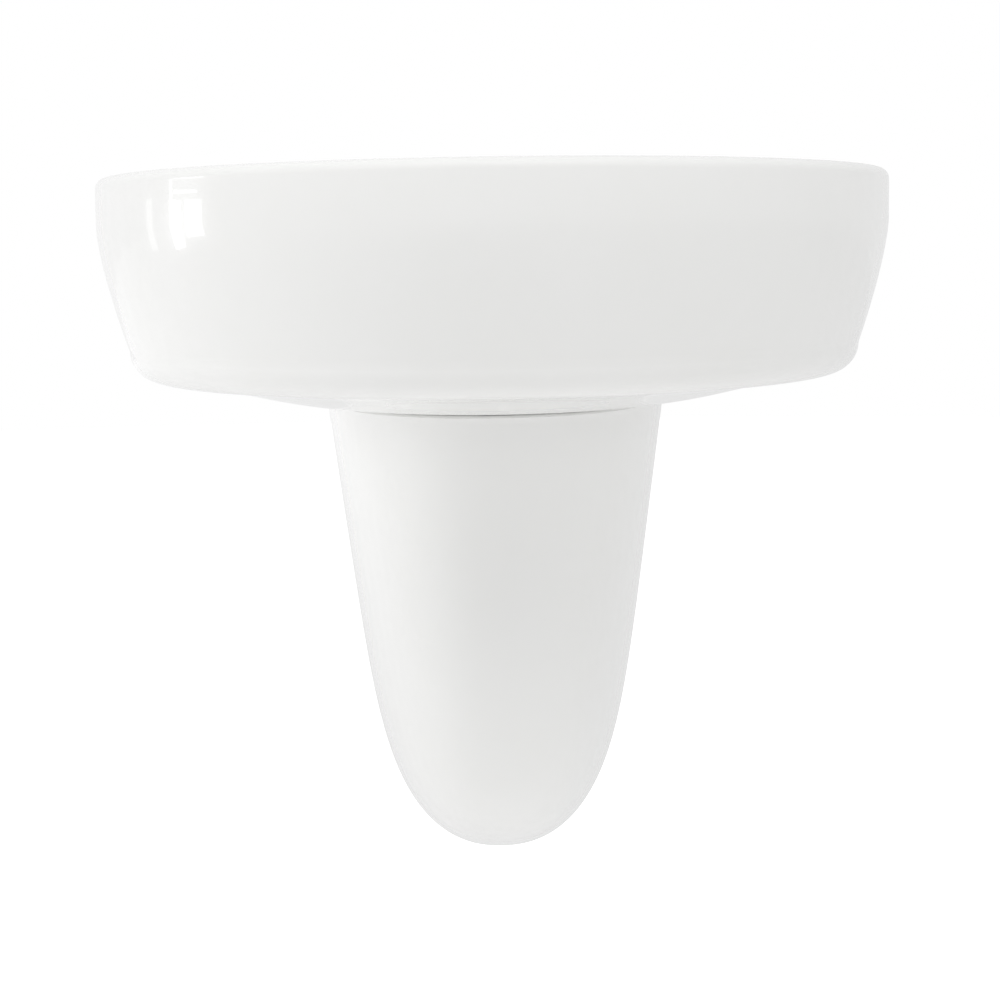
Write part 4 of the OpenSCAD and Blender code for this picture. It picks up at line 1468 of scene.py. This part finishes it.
@dataclass
class Waste:
    """The slotted waste, its press plug, and the rings and nut that clamp it in the china."""

    basin: Basin
    # The chromed body: thread, bore, dished flange, slots and the spider that holds the latch
    thread: ScrewThread = PIPE_THREAD
    bore_r: float = 18.5
    flange_t: float = 3
    flat_w: float = 3
    dish_t: float = 0.8
    slot_w: float = 13
    slot_h: float = 16
    slot_z: float = -90.75
    slot_edge: float = 3
    slot_off: float = 4
    hub_r: float = 8.6
    hub_rise: float = 48
    hub_t: float = 10
    arm_t: float = 3
    # The plug and its latch
    cap_r: float = 27
    cap_edge: float = 1.6
    cap_t: float = 5
    spindle_r: float = 3
    latch_r: float = 7
    # The ring nut, and the sleeve and bore of the overflow's ring
    nut_lugs: int = 6
    sleeve_r: float = 10.7
    ring_bore: float = 9
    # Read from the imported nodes, or worked out
    place: Matrix = field(init=False)
    tail_z: float = field(init=False)
    top_z: float = field(init=False)
    hub_z: float = field(init=False)
    dish_r: float = field(init=False)
    cap_z: float = field(init=False)

    def __post_init__(self) -> None:
        """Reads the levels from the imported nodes."""
        self.place = Matrix.Translation((0, -self.basin.waste_y, 0))
        self.tail_z, self.top_z = span("waste_body", Z)
        self.hub_z = self.tail_z + self.hub_rise
        self.dish_r = self.basin.flange_r - self.flat_w
        self.cap_z = span("plug_cap", Z)[0]

    def dish(self, r: float) -> float:
        """Returns the height of the flange's dished face at a radius."""
        return self.top_z - (self.flange_t - self.dish_t) * (self.dish_r - r) / (self.dish_r - self.bore_r)

    def build(self) -> None:
        """Builds every piece of the waste."""
        self.body()
        self.plug()
        self.latch()
        self.nut()
        washer("waste_top_seal", self.thread.r + 2 * SNUG, RUBBER)
        washer("waste_slip_washer", self.thread.r + SNUG, MOULDING)
        self.cone()
        self.overflow_trim()

    def body(self) -> None:
        """Turns the chromed body, adds its spider and thread, and cuts its slots."""
        r, root, flange_r = self.thread.r, self.thread.root, self.basin.flange_r
        lead, under = self.slot_z - self.slot_h / 2 - self.slot_off, self.top_z - self.flange_t
        outline = [(self.bore_r, self.tail_z), (root, self.tail_z), (root, lead), (r, lead + 1), (r, under),
                   (flange_r, under), (flange_r, self.top_z), (self.dish_r, self.top_z),
                   (self.bore_r, self.dish(self.bore_r))]
        body = turned("waste", rounded(outline, r=0.8), CHROME, self.place, steps=128)
        carve(body, self.spider(), Carving.JOIN)
        carve(body, self.cuts(), Carving.CUT)
        winding = self.thread.wind(self.tail_z + 1, lead, CHROME, self.place)
        fit(joined("chromed_waste", [body, winding]), CHROME, "waste_body")

    def spider(self) -> list[bpy.types.Object]:
        """Makes the hub of the latch and the two bars that cross the bore.

        Returns:
            The hub and the bars.
        """
        reach, half = self.bore_r + 1, self.arm_t / 2
        hub = rod("hub", self.hub_r, self.hub_t, self.place @ Matrix.Translation((0, 0, self.hub_z)),
                  finish=CHROME)
        low, high = (-reach, -half, self.hub_z), (reach, half, self.hub_z + self.hub_t)
        return [hub] + [block("arm", low, high, 0.6, CHROME, self.place @ Matrix.Rotation(turn, 4, "Z"))
                        for turn in (0, math.pi / 2)]

    def cuts(self) -> list[bpy.types.Object]:
        """Makes the tools for the latch's bore and for the four slots that the overflow drains through.

        Returns:
            The tools.
        """
        bore = rod("latch_bore", self.latch_r + SNUG, self.hub_t + 2 * PAST,
                   self.place @ Matrix.Translation((0, 0, self.hub_z - PAST)), finish=CHROME)
        far = self.thread.r + 3 * PAST
        low = (-far, -self.slot_w / 2, self.slot_z - self.slot_h / 2)
        high = (far, self.slot_w / 2, self.slot_z + self.slot_h / 2)
        return [bore] + [block("slot", low, high, self.slot_edge, CHROME,
                               self.place @ Matrix.Rotation(turn, 4, "Z"))
                         for turn in (math.pi / 4, 3 * math.pi / 4)]

    def plug(self) -> None:
        """Makes the domed cap, its seal and its spindle, which move together."""
        chamfer, lift, collar = 0.6, 0.4, 3
        rise = self.cap_t - self.cap_edge
        dome = [(r, self.cap_z + self.cap_edge + rise * (1 - (r / self.cap_r) ** 2))
                for r in np.linspace(self.cap_r, 0, 40)]
        under = [(0, self.cap_z), (self.cap_r - chamfer, self.cap_z), (self.cap_r, self.cap_z + chamfer)]
        cap = turned("plug_dome", under + dome, CHROME, self.place, steps=160)
        fit(cap, CHROME, "plug_cap", body="plug")
        inner, outer = self.bore_r - 1, self.cap_r - 3
        lip = [(inner, self.cap_z), (inner, self.dish(self.bore_r) + lift),
               (outer, self.dish(outer) + lift), (outer, self.cap_z)]
        ring = turned("plug_ring", rounded(lip, r=0.5), RUBBER, self.place)
        fit(ring, RUBBER, "plug_seal", body="plug")
        foot = span("plug_spindle", Z)[0]
        stem = [(0, foot), (self.spindle_r, foot), (self.spindle_r, self.cap_z - collar),
                (inner, self.cap_z - collar), (inner, self.cap_z), (0, self.cap_z)]
        spindle = turned("plug_stem", rounded(stem, r=0.6), STAINLESS, self.place)
        fit(spindle, STAINLESS, "plug_spindle", body="plug")

    def latch(self) -> None:
        """Makes the sleeve that holds the press latch."""
        low, high = span("click_cartridge", Z)
        inner, floor_z, flange_z = self.spindle_r + 2 * SNUG, low + 3, high - 2
        outline = [(0, low), (self.latch_r, low), (self.latch_r, flange_z), (self.hub_r, flange_z),
                   (self.hub_r, high), (inner, high), (inner, floor_z), (0, floor_z)]
        sleeve = turned("latch_sleeve", rounded(outline, r=0.5), NYLON, self.place)
        fit(sleeve, NYLON, "click_cartridge")

    def nut(self) -> None:
        """Makes the ring nut with its six lugs."""
        low, high = span("waste_back_nut", Z)
        margin, half, sunk, proud = 8, 4, 2, 4
        r = self.basin.boss_r - margin
        ring = turned("nut_ring", tube(r, self.thread.r + SNUG, low, high, edge=0.8), CHROME, self.place,
                      steps=128)
        lugs = [block("nut_lug", (r - sunk, -half, low), (r + proud, half, high), 1.0, CHROME,
                      self.place @ Matrix.Rotation(math.radians(360 / self.nut_lugs * k), 4, "Z"))
                for k in range(self.nut_lugs)]
        fit(joined("ring_nut", [ring] + lugs), CHROME, "waste_back_nut")

    def cone(self) -> None:
        """Makes the cone washer that seals the waste under the china."""
        low = span("waste_cone_seal", Z)[0]
        margin, flange_h, step = 4, 6, 2
        outer, shoulder = self.basin.boss_r - margin, low + flange_h
        bore, collar = self.thread.r + SNUG, self.basin.waste_hole_r - 2 * SNUG
        outline = [(bore, low), (outer - step, low), (outer, shoulder), (collar, shoulder),
                   (collar, shoulder + step), (bore, shoulder + 2 * step)]
        made = turned("cone_washer", rounded(outline, r=0.7), RUBBER, self.place)
        fit(made, RUBBER, "waste_cone_seal")

    def overflow_trim(self) -> None:
        """Makes the trim ring of the overflow hole, in the bowl's rear wall."""
        low, high = (Vector(corner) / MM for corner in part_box("overflow_ring"))
        face_t = 2
        outer, length = (high.x - low.x) / 2, high.y - low.y
        outline = [(self.ring_bore, 0), (self.sleeve_r, 0), (self.sleeve_r, length - face_t),
                   (outer, length - face_t), (outer, length), (self.ring_bore, length)]
        place = to_room(0, high.y, (low.z + high.z) / 2)
        made = turned("overflow_trim", rounded(outline, r=0.9), CHROME, place, steps=128)
        fit(made, CHROME, "overflow_ring")


# The bottle trap and its tube

@dataclass
class Trap:
    """The white bottle trap with its union nuts, the tube into the wall and the cover plate."""

    basin: Basin
    # Threads and the tubes that pass through the nuts
    thread: ScrewThread = PIPE_THREAD
    tube_r: float = 16
    tube_t: float = 1.6
    tube_gap: float = 0.35
    # Union nuts with their grip ribs
    nut_r: float = 26
    lip_t: float = 3.5
    rib_r: float = 1.2
    rib_count: int = 16
    # Collar of the inlet tube and bore of the seal on it
    collar_t: float = 4
    collar_r: float = 20
    inlet_seal_r: float = 16.5
    # Head, and where the bore of its outlet starts
    head_r: float = 33
    spigot_t: float = 4
    spigot_h: float = 12
    neck_h: float = 16
    socket_h: float = 16
    outlet_start: float = 20
    # Cup with its seal's seat and its grip grooves
    seat_drop: float = 2
    seal_gap: float = 0.2
    cup_t: float = 3
    cup_step: float = 4
    groove_r: float = 1.6
    groove_count: int = 12
    # Bead of the wall tube, and the cover plate
    bead_r: float = 17
    bead_t: float = 2
    plate_r: float = 38
    plate_h: float = 10
    plate_t: float = 1.2
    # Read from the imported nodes, or worked out
    place: Matrix = field(init=False)
    spigot_z: float = field(init=False)
    neck_z: float = field(init=False)
    head_z: float = field(init=False)
    cup_z: float = field(init=False)
    cup_top: float = field(init=False)
    outlet_z: float = field(init=False)
    stub_end: float = field(init=False)
    chamber_r: float = field(init=False)
    spigot_r: float = field(init=False)
    bore_r: float = field(init=False)

    def __post_init__(self) -> None:
        """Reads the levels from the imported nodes."""
        self.place = Matrix.Translation((0, -self.basin.waste_y, 0))
        self.spigot_z, self.neck_z = span("trap_head", Z)
        self.head_z = self.spigot_z + self.spigot_h
        self.cup_z, self.cup_top = span("trap_cup", Z)
        self.outlet_z = sum(span("wall_tube", Z)) / 2
        self.stub_end = span("trap_head", Y)[1]
        self.chamber_r = self.head_r - self.cup_t - self.spigot_t
        self.spigot_r = self.head_r - self.cup_t - 2 * SNUG
        self.bore_r = self.tube_r + self.tube_gap

    def build(self) -> None:
        """Builds every piece of the trap."""
        upright = Matrix.Translation((0, 0, span("trap_coupling_nut", Z)[0]))
        self.nut("trap_coupling_nut", self.place @ upright)
        over = Matrix.Translation((0, 0, span("trap_slip_nut", Z)[1])) @ Matrix.Rotation(math.pi, 4, "X")
        self.nut("trap_slip_nut", self.place @ over)
        self.nut("outlet_nut", to_room(0, span("outlet_nut", Y)[1], self.outlet_z), axis=Y)
        washer("trap_inlet_seal", self.inlet_seal_r, RUBBER)
        washer("trap_slip_seal", self.tube_r + SNUG, RUBBER)
        washer("outlet_seal", self.tube_r + SNUG, RUBBER, axis=Y)
        washer("trap_cup_seal", self.chamber_r + self.seal_gap, RUBBER)
        self.inlet()
        self.head()
        self.cup()
        self.wall_tube()
        self.plate()

    def nut(self, node: str, place: Matrix, axis: int = Z) -> None:
        """Makes one ribbed union nut, its lip at the place's origin and its thread opening along +Z.

        Args:
            node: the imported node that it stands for.
            place: where it goes.
            axis: the axis that it is turned about.
        """
        low, high = span(node, axis)
        h, inner, plain = high - low, self.thread.r + SNUG, 2
        outline = [(self.bore_r, 0), (self.nut_r, 0), (self.nut_r, h), (inner, h), (inner, self.lip_t),
                   (self.bore_r, self.lip_t)]
        shell = turned("nut_shell", rounded(outline, r=1.0), MOULDING, place, steps=128)
        grip = ribs(self.rib_count, self.nut_r, plain, h - plain, self.rib_r, MOULDING, place)
        fit(joined(node + "_ribbed", [shell, grip]), MOULDING, node)

    def inlet(self) -> None:
        """Makes the collared tube that dips into the cup."""
        low, high = span("trap_inlet_pipe", Z)
        inner = self.tube_r - self.tube_t
        outline = [(inner, low), (self.tube_r, low), (self.tube_r, high - self.collar_t),
                   (self.collar_r, high - self.collar_t), (self.collar_r, high), (inner, high)]
        made = turned("dip_tube", rounded(outline, r=0.6), MOULDING, self.place)
        fit(made, MOULDING, "trap_inlet_pipe")

    def head(self) -> None:
        """Makes the head: spigot, body, threaded neck and threaded outlet, with their bores."""
        root, shoulder = self.thread.root, self.neck_z - self.neck_h
        outline = [(0, self.spigot_z), (self.spigot_r, self.spigot_z), (self.spigot_r, self.head_z),
                   (self.head_r, self.head_z), (self.head_r, shoulder), (root, shoulder),
                   (root, self.neck_z), (0, self.neck_z)]
        body = turned("head_body", rounded(outline, r=2.4, steps=8), MOULDING, self.place, steps=128)
        at_outlet = along_y(0, -self.basin.waste_y, self.outlet_z)
        reach = self.stub_end + self.basin.waste_y
        carve(body, [rod("stub", root, reach, at_outlet, finish=MOULDING)], Carving.JOIN)
        chamber_h = shoulder - self.cup_t - self.spigot_z + PAST
        in_chamber = self.place @ Matrix.Translation((0, 0, self.spigot_z - PAST))
        past_middle = at_outlet @ Matrix.Translation((0, 0, self.outlet_start))
        socket = at_outlet @ Matrix.Translation((0, 0, reach - self.socket_h))
        in_neck = self.place @ Matrix.Translation((0, 0, self.head_z))
        cuts = [rod("chamber", self.chamber_r, chamber_h, in_chamber, finish=MOULDING),
                rod("stub_bore", self.tube_r - self.tube_t, reach, past_middle, finish=MOULDING),
                rod("stub_socket", self.bore_r, self.socket_h + 2 * PAST, socket, finish=MOULDING),
                rod("neck_bore", self.bore_r, self.neck_z - self.head_z + PAST, in_neck, finish=MOULDING)]
        carve(body, cuts, Carving.CUT)
        run_out, clear = 0.5, 3
        windings = [self.thread.wind(shoulder + 1, self.neck_z - run_out, MOULDING, self.place),
                    self.thread.wind(self.head_r + clear, reach - run_out, MOULDING, at_outlet)]
        fit(joined("trap_head_moulding", [body] + windings), MOULDING, "trap_head")

    def cup(self) -> None:
        """Makes the screwed cup with its grip grooves."""
        seat, step, r = self.spigot_z - self.seat_drop, self.cup_step, self.head_r
        bend, bore = 2 * step, self.spigot_r + SNUG
        turns = np.radians(np.linspace(0, 90, 13))
        outline = [(0, self.cup_z)]
        outline += [(r - 3 * step + bend * math.sin(a), self.cup_z + bend * (1 - math.cos(a)))
                    for a in turns]
        outline += [(r - step, seat - 2 * step), (r, seat - step), (r, self.cup_top), (bore, self.cup_top),
                    (bore, seat), (self.chamber_r, seat), (self.chamber_r, seat - step),
                    (r - step - self.cup_t, seat - 2 * step)]
        inner = bend - self.cup_t
        outline += [(r - 3 * step + inner * math.sin(a), self.cup_z + bend - inner * math.cos(a))
                    for a in turns[::-1]]
        outline.append((0, self.cup_z + self.cup_t))
        cup = turned("cup", rounded(outline, r=1.2), MOULDING, self.place, steps=144)
        # The grooves are turned by half their spacing and run on past the cup's rim.
        turn = self.place @ Matrix.Rotation(math.radians(180 / self.groove_count), 4, "Z")
        stand_off, over = 0.6, 30
        grooves = ribs(self.groove_count, r + stand_off, seat, self.cup_top + over, self.groove_r, MOULDING,
                       turn)
        carve(cup, [grooves], Carving.CUT)
        cup.name = "trap_cup_moulding"
        fit(cup, MOULDING, "trap_cup")

    def wall_tube(self) -> None:
        """Makes the tube into the wall, with its bead at the wall face."""
        low, high = span("wall_tube", Y)
        inner = self.tube_r - self.tube_t
        outline = [(inner, low), (self.tube_r, low), (self.tube_r, 0), (self.bead_r, 0),
                   (self.bead_r, self.bead_t), (self.tube_r, self.bead_t), (self.tube_r, high),
                   (inner, high)]
        made = turned("outlet_tube", rounded([(r, y - low) for r, y in outline], r=0.6), MOULDING,
                      along_y(0, low, self.outlet_z))
        fit(made, MOULDING, "wall_tube")

    def plate(self) -> None:
        """Makes the domed cover plate, which slides on its tube."""
        inner, wall, foot, lift = self.bore_r, self.plate_t, 0.3, 1
        flat, rise = inner + 2, self.plate_h - lift
        turns = np.radians(np.linspace(0, 90, 25))
        outline = [(self.plate_r, foot)]
        outline += [(flat + (self.plate_r - flat) * math.cos(a), lift + rise * math.sin(a)) for a in turns]
        outline += [(inner, self.plate_h), (inner, self.plate_h - wall)]
        outline += [(flat + (self.plate_r - wall - flat) * math.cos(a), lift + (rise - wall) * math.sin(a))
                    for a in turns[::-1]]
        outline.append((self.plate_r - wall, foot))
        made = turned("cover_plate", outline, CHROME, to_room(0, 0, self.outlet_z), steps=160)
        fit(made, CHROME, "wall_rosette", body="rosette")


# Fixings in the wall

@dataclass
class WallFixing:
    """A pair of hanger bolts with their bushes, washers and nuts.

    Attributes:
        bolts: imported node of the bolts.
        bushes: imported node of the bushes.
        washers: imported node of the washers.
        nuts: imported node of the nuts.
        spacing: distance between the two.
        z: their height.
        r: radius in the wall.
        pitch: pitch of the room side's thread.
        flats: width of a nut over its flats.
        bush_r: radius of a bush's flange.
        sleeve_r: radius of its sleeve.
        flange_t: thickness of its flange.
    """

    bolts: str
    bushes: str
    washers: str
    nuts: str
    spacing: float
    z: float
    r: float
    pitch: float
    flats: float
    bush_r: float
    sleeve_r: float
    flange_t: float = 3

    def build(self) -> None:
        """Builds the four kinds of piece, each as one object for both sides."""
        for node, one, finish in ((self.bolts, self.bolt, ZINC), (self.bushes, self.bush, NYLON),
                                  (self.washers, self.flat_washer, ZINC), (self.nuts, self.nut, ZINC)):
            low, high = span(node, Y)
            parts = [part for side in (-1, 1) for part in one(side * self.spacing / 2, low, high)]
            fit(joined(node + "_pair", parts), finish, node)

    def bolt(self, x: float, low: float, high: float) -> list[bpy.types.Object]:
        """Makes one hanger bolt: a machine thread in the room, a collar, a coarse thread and a point.

        Args:
            x: how far it is from the middle.
            low: its end in the room.
            high: its end towards the wall.

        Returns:
            Its shank and its two threads.
        """
        slack, collar, lead, chamfer, run = 0.25, 2, 0.6, 0.4, 1
        shank, tip, tip_r = 9, 8, 0.5
        fine = ScrewThread(r=self.r - slack, pitch=self.pitch, ridge=0.6 * self.pitch)
        coarse = ScrewThread(r=self.r, pitch=3.2, ridge=1.1)
        outline = [(0, low), (fine.root - chamfer, low), (fine.root, low + 2 * chamfer),
                   (fine.root, -collar - run), (fine.r, -collar), (fine.r, 0), (coarse.r, 0),
                   (coarse.r, shank), (coarse.root, shank + run), (coarse.root, high - tip),
                   (tip_r, high), (0, high)]
        place = along_y(x, 0, self.z)
        return [turned("shank", rounded(outline, r=0.2, steps=2), ZINC, place, steps=48),
                fine.wind(low + lead, -collar - lead, ZINC, place),
                coarse.wind(shank, high - tip + run, ZINC, place)]

    def bush(self, x: float, low: float, high: float) -> list[bpy.types.Object]:
        """Makes one flanged bush."""
        outline = [(self.r, 0), (self.bush_r, 0), (self.bush_r, self.flange_t),
                   (self.sleeve_r, self.flange_t), (self.sleeve_r, high - low), (self.r, high - low)]
        return [turned("bush", rounded(outline, r=0.7), NYLON, along_y(x, low, self.z))]

    def flat_washer(self, x: float, low: float, high: float) -> list[bpy.types.Object]:
        """Makes one flat washer."""
        section = tube(2 * self.r, self.r, 0, high - low, edge=0.3)
        return [turned("flat", section, ZINC, along_y(x, low, self.z), steps=72)]

    def nut(self, x: float, low: float, high: float) -> list[bpy.types.Object]:
        """Makes one hexagon nut with chamfered corners and a countersunk bore.

        Args:
            x: how far it is from the middle.
            low: its end in the room.
            high: its end towards the wall.

        Returns:
            The nut, in a list.
        """
        sides, slack = 6, 0.1
        h, corner, bore = high - low, self.flats / math.sqrt(3), self.r - slack
        place = along_y(x, low, self.z)
        hexagon = closed("hexagon", [circle(corner, z, sides) for z in (0, h)], ZINC, place)
        # A turned barrel takes the corners off, down to a little inside the flats.
        slope = corner - self.flats / 2 + 0.3
        face_r, outer, rise = corner - slope, corner + 0.2, 0.6 * slope
        barrel = [(0, 0), (face_r, 0), (outer, rise), (outer, h - rise), (face_r, h), (0, h)]
        carve(hexagon, [turned("barrel", barrel, ZINC, place)], Carving.TRIM)
        under = place @ Matrix.Translation((0, 0, -PAST))
        carve(hexagon, [rod("nut_bore", bore, h + 2 * PAST, under, finish=ZINC)], Carving.CUT)
        return [hexagon]


# The studio

@dataclass(frozen=True)
class Pane:
    """A lit pane, bar or strip of the window that the glaze mirrors.

    Attributes:
        name: the lamp's name.
        y: where it starts and ends along Y, in millimetres.
        z: where it starts and ends along Z, in millimetres.
        bright: its radiance, where one is white.
    """

    name: str
    y: tuple[float, float]
    z: tuple[float, float]
    bright: float


PANES = (Pane("window_top", (0, 560), (318, 440), 3.4),
         Pane("window_post", (590, 655), (140, 320), 1.2),
         Pane("window_bar", (100, 560), (176, 196), 2.4),
         Pane("window_left", (430, 650), (-410, 128), 2.6),
         Pane("window_right", (30, 335), (-300, 128), 2.6),
         Pane("window_far", (1080, 1260), (-370, 150), 0.5))


@dataclass
class Studio:
    """The floor, the light and the camera.

    Attributes:
        floor_z: height of the floor.
        floor_r: radius of the floor.
        floor_steps: corners of its rim.
        floor_lift: glow that the camera adds to the floor, so that it is white round the shadow.
        floor_bounce: glow of the floor towards the object.
        floor_left: brightness of the floor as gloss shows it, on the left.
        floor_right: the same on the right.
        floor_turn: where the one goes over into the other, in metres.
        fill: even light from all sides.
        wall_left: brightness of the room as gloss shows it, on the left.
        wall_right: the same on the right.
        wall_turn: where the one goes over into the other, as a share of the way to the side.
        window_x: place of the window across the room.
        eye: the camera's place.
        pitch: how far it looks down, in degrees.
        roll: its roll, in degrees.
        focal: its focal length, in pixels of a picture 1000 pixels wide.
    """

    floor_z: float = -790
    floor_r: float = 9000
    floor_steps: int = 64
    floor_lift: float = 0.5
    floor_bounce: float = 0.185
    floor_left: float = 1.0
    floor_right: float = 0.78
    floor_turn: tuple[float, float] = (-2.5, 0.3)
    fill: float = 0.56
    wall_left: float = 0.93
    wall_right: float = 0.815
    wall_turn: tuple[float, float] = (-0.45, 0.25)
    window_x: float = -2600
    eye: tuple[float, float, float] = (2.4, -1699.3, 7.6)
    pitch: float = 6.31
    roll: float = -0.82
    focal: float = 2247

    def build(self) -> None:
        """Sets the stage."""
        self.floor()
        self.world()
        self.lamps()
        self.camera()

    def floor(self) -> None:
        """Lays a wide pale floor: white, with the object's soft shadow, and clear from below."""
        rim = circle(self.floor_r, self.floor_z, self.floor_steps)
        paint = bpy.data.materials.new("pale_floor")
        paint.use_nodes = True
        tree = paint.node_tree
        tree.nodes.clear()
        clear, gloss = self.seen_rays(tree)
        matt = add_node(tree, "ShaderNodeBsdfDiffuse", {"Color": linear("#f6f6f6")})
        lift = add_node(tree, "ShaderNodeMath",
                        {0: clear, 1: self.floor_lift, 2: self.floor_bounce}, operation="MULTIPLY_ADD")
        glow = add_node(tree, "ShaderNodeEmission", {"Color": WHITE, "Strength": lift.outputs[0]})
        lit = add_node(tree, "ShaderNodeAddShader", {0: matt.outputs[0], 1: glow.outputs[0]})
        place = add_node(tree, "ShaderNodeTexCoord").outputs["Object"]
        across = add_node(tree, "ShaderNodeSeparateXYZ", {0: place}).outputs["X"]
        pool = add_node(tree, "ShaderNodeMapRange",
                        {"Value": across, "From Min": self.floor_turn[0], "From Max": self.floor_turn[1],
                         "To Min": self.floor_left, "To Max": self.floor_right},
                        interpolation_type="SMOOTHSTEP")
        mirrored = add_node(tree, "ShaderNodeEmission",
                            {"Color": WHITE, "Strength": pool.outputs["Result"]})
        both = add_node(tree, "ShaderNodeMixShader",
                        {"Fac": gloss, 1: lit.outputs[0], 2: mirrored.outputs[0]})
        under = add_node(tree, "ShaderNodeNewGeometry").outputs["Backfacing"]
        clear_view = add_node(tree, "ShaderNodeBsdfTransparent")
        one_sided = add_node(tree, "ShaderNodeMixShader",
                             {"Fac": under, 1: both.outputs[0], 2: clear_view.outputs[0]})
        add_node(tree, "ShaderNodeOutputMaterial", {"Surface": one_sided.outputs[0]})
        mesh = bpy.data.meshes.new("floor")
        mesh.from_pydata((rim * MM).tolist(), [], [list(range(self.floor_steps))])
        mesh.materials.append(paint)
        made = bpy.data.objects.new("floor", mesh)
        bpy.context.scene.collection.objects.link(made)

    @staticmethod
    def seen_rays(tree: bpy.types.NodeTree) -> tuple[bpy.types.NodeSocket, bpy.types.NodeSocket]:
        """Adds a value of one for rays from the camera or through glass, and one for rays off gloss.

        Args:
            tree: the node tree that asks.

        Returns:
            Both values' sockets.
        """
        rays = add_node(tree, "ShaderNodeLightPath")
        clear = add_node(tree, "ShaderNodeMath",
                         {0: rays.outputs["Is Camera Ray"], 1: rays.outputs["Is Transmission Ray"]},
                         operation="MAXIMUM")
        return clear.outputs[0], rays.outputs["Is Glossy Ray"]

    def world(self) -> None:
        """Fills the room with even light: white to the camera and through glass, pale walls to gloss."""
        world = bpy.data.worlds.new("studio")
        bpy.context.scene.world = world
        world.use_nodes = True
        tree = world.node_tree
        tree.nodes.clear()
        clear, gloss = self.seen_rays(tree)
        way = add_node(tree, "ShaderNodeTexCoord").outputs["Generated"]
        side = add_node(tree, "ShaderNodeSeparateXYZ", {0: way}).outputs["X"]
        walls = add_node(tree, "ShaderNodeMapRange",
                         {"Value": side, "From Min": self.wall_turn[0], "From Max": self.wall_turn[1],
                          "To Min": self.wall_left, "To Max": self.wall_right},
                         interpolation_type="SMOOTHSTEP")
        fill = add_node(tree, "ShaderNodeBackground", {"Color": WHITE, "Strength": self.fill})
        room = add_node(tree, "ShaderNodeBackground",
                        {"Color": WHITE, "Strength": walls.outputs["Result"]})
        white = add_node(tree, "ShaderNodeBackground", {"Color": WHITE, "Strength": 1.0})
        lit = add_node(tree, "ShaderNodeMixShader",
                       {"Fac": gloss, 1: fill.outputs[0], 2: room.outputs[0]})
        shown = add_node(tree, "ShaderNodeMixShader",
                         {"Fac": clear, 1: lit.outputs[0], 2: white.outputs[0]})
        add_node(tree, "ShaderNodeOutputWorld", {"Surface": shown.outputs[0]})

    def lamps(self) -> None:
        """Hangs three soft boxes, which gloss doesn't show, and on the left the window, which it does."""
        basin, cover = (0, -250, -80), (0, -300, 0)
        self.lamp("left_softbox", (-3000, 200, 100), basin, size=(2400, 2200), bright=1.15, seen=False)
        self.lamp("top_softbox", (0, -1300, 1900), cover, size=(2400, 1400), bright=2.3, seen=False)
        self.lamp("right_softbox", (3000, -200, 100), basin, size=(2000, 2200), bright=0.3, seen=False)
        for pane in PANES:
            y, z = sum(pane.y) / 2, sum(pane.z) / 2
            size = (pane.y[1] - pane.y[0], pane.z[1] - pane.z[0])
            self.lamp(pane.name, (self.window_x, y, z), (0, y, z), size, pane.bright)

    @staticmethod
    def lamp(name: str, place: tuple[float, float, float], aim: tuple[float, float, float],
             size: tuple[float, float], bright: float, seen: bool = True) -> None:
        """Adds one rectangular lamp.

        Args:
            name: the lamp's name.
            place: its middle, in millimetres.
            aim: the point that it faces.
            size: its width and height.
            bright: its radiance, where one is white.
            seen: whether gloss shows it.
        """
        light = bpy.data.lights.new(name, "AREA")
        light.shape = "RECTANGLE"
        light.size, light.size_y = size[0] * MM, size[1] * MM
        light.energy = bright * math.pi * light.size * light.size_y
        made = bpy.data.objects.new(name, light)
        made.visible_glossy = seen
        made.location = Vector(place) * MM
        made.rotation_euler = (Vector(aim) - Vector(place)).to_track_quat("-Z", "Y").to_euler()
        bpy.context.scene.collection.objects.link(made)

    def camera(self) -> None:
        """Places the camera where the photograph's was."""
        data = bpy.data.cameras.new("camera")
        sensor, picture = 36, 1000
        data.sensor_width = sensor
        data.lens = sensor * self.focal / picture
        data.clip_start, data.clip_end = 0.01, 60
        tilt, roll = math.radians(self.pitch), math.radians(self.roll)
        ahead = Vector((0, math.cos(tilt), -math.sin(tilt)))
        above = Vector((0, math.sin(tilt), math.cos(tilt)))
        right = Vector((1, 0, 0)) * math.cos(roll) + above * math.sin(roll)
        above = above * math.cos(roll) - Vector((1, 0, 0)) * math.sin(roll)
        made = bpy.data.objects.new("camera", data)
        grid = Matrix((right, above, -ahead)).transposed().to_4x4()
        grid.translation = Vector(self.eye) * MM
        made.matrix_world = grid
        bpy.context.scene.collection.objects.link(made)
        bpy.context.scene.camera = made


def main() -> None:
    """Builds the scene, piece by piece."""
    logging.basicConfig(level=logging.INFO, format="%(name)s: %(message)s")
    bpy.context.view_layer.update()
    bpy.context.scene.view_settings.view_transform = "Standard"
    basin, cover = Basin(), HalfPedestal()
    Studio().build()
    basin.build()
    cover.build()
    Waste(basin).build()
    Trap(basin).build()
    WallFixing("basin_wall_bolts", "basin_bolt_bushes", "basin_bolt_washers", "basin_bolt_nuts",
               spacing=basin.bolt_spacing, z=0, r=5, pitch=1.5, flats=17, bush_r=14, sleeve_r=7.7).build()
    WallFixing("pedestal_bolts", "pedestal_bolt_sleeves", "pedestal_bolt_washers", "pedestal_bolt_nuts",
               spacing=cover.stud_spacing, z=cover.stud_z, r=4, pitch=1.25, flats=13, bush_r=9.5,
               sleeve_r=5.2).build()


if __name__ == "__main__":
    main()
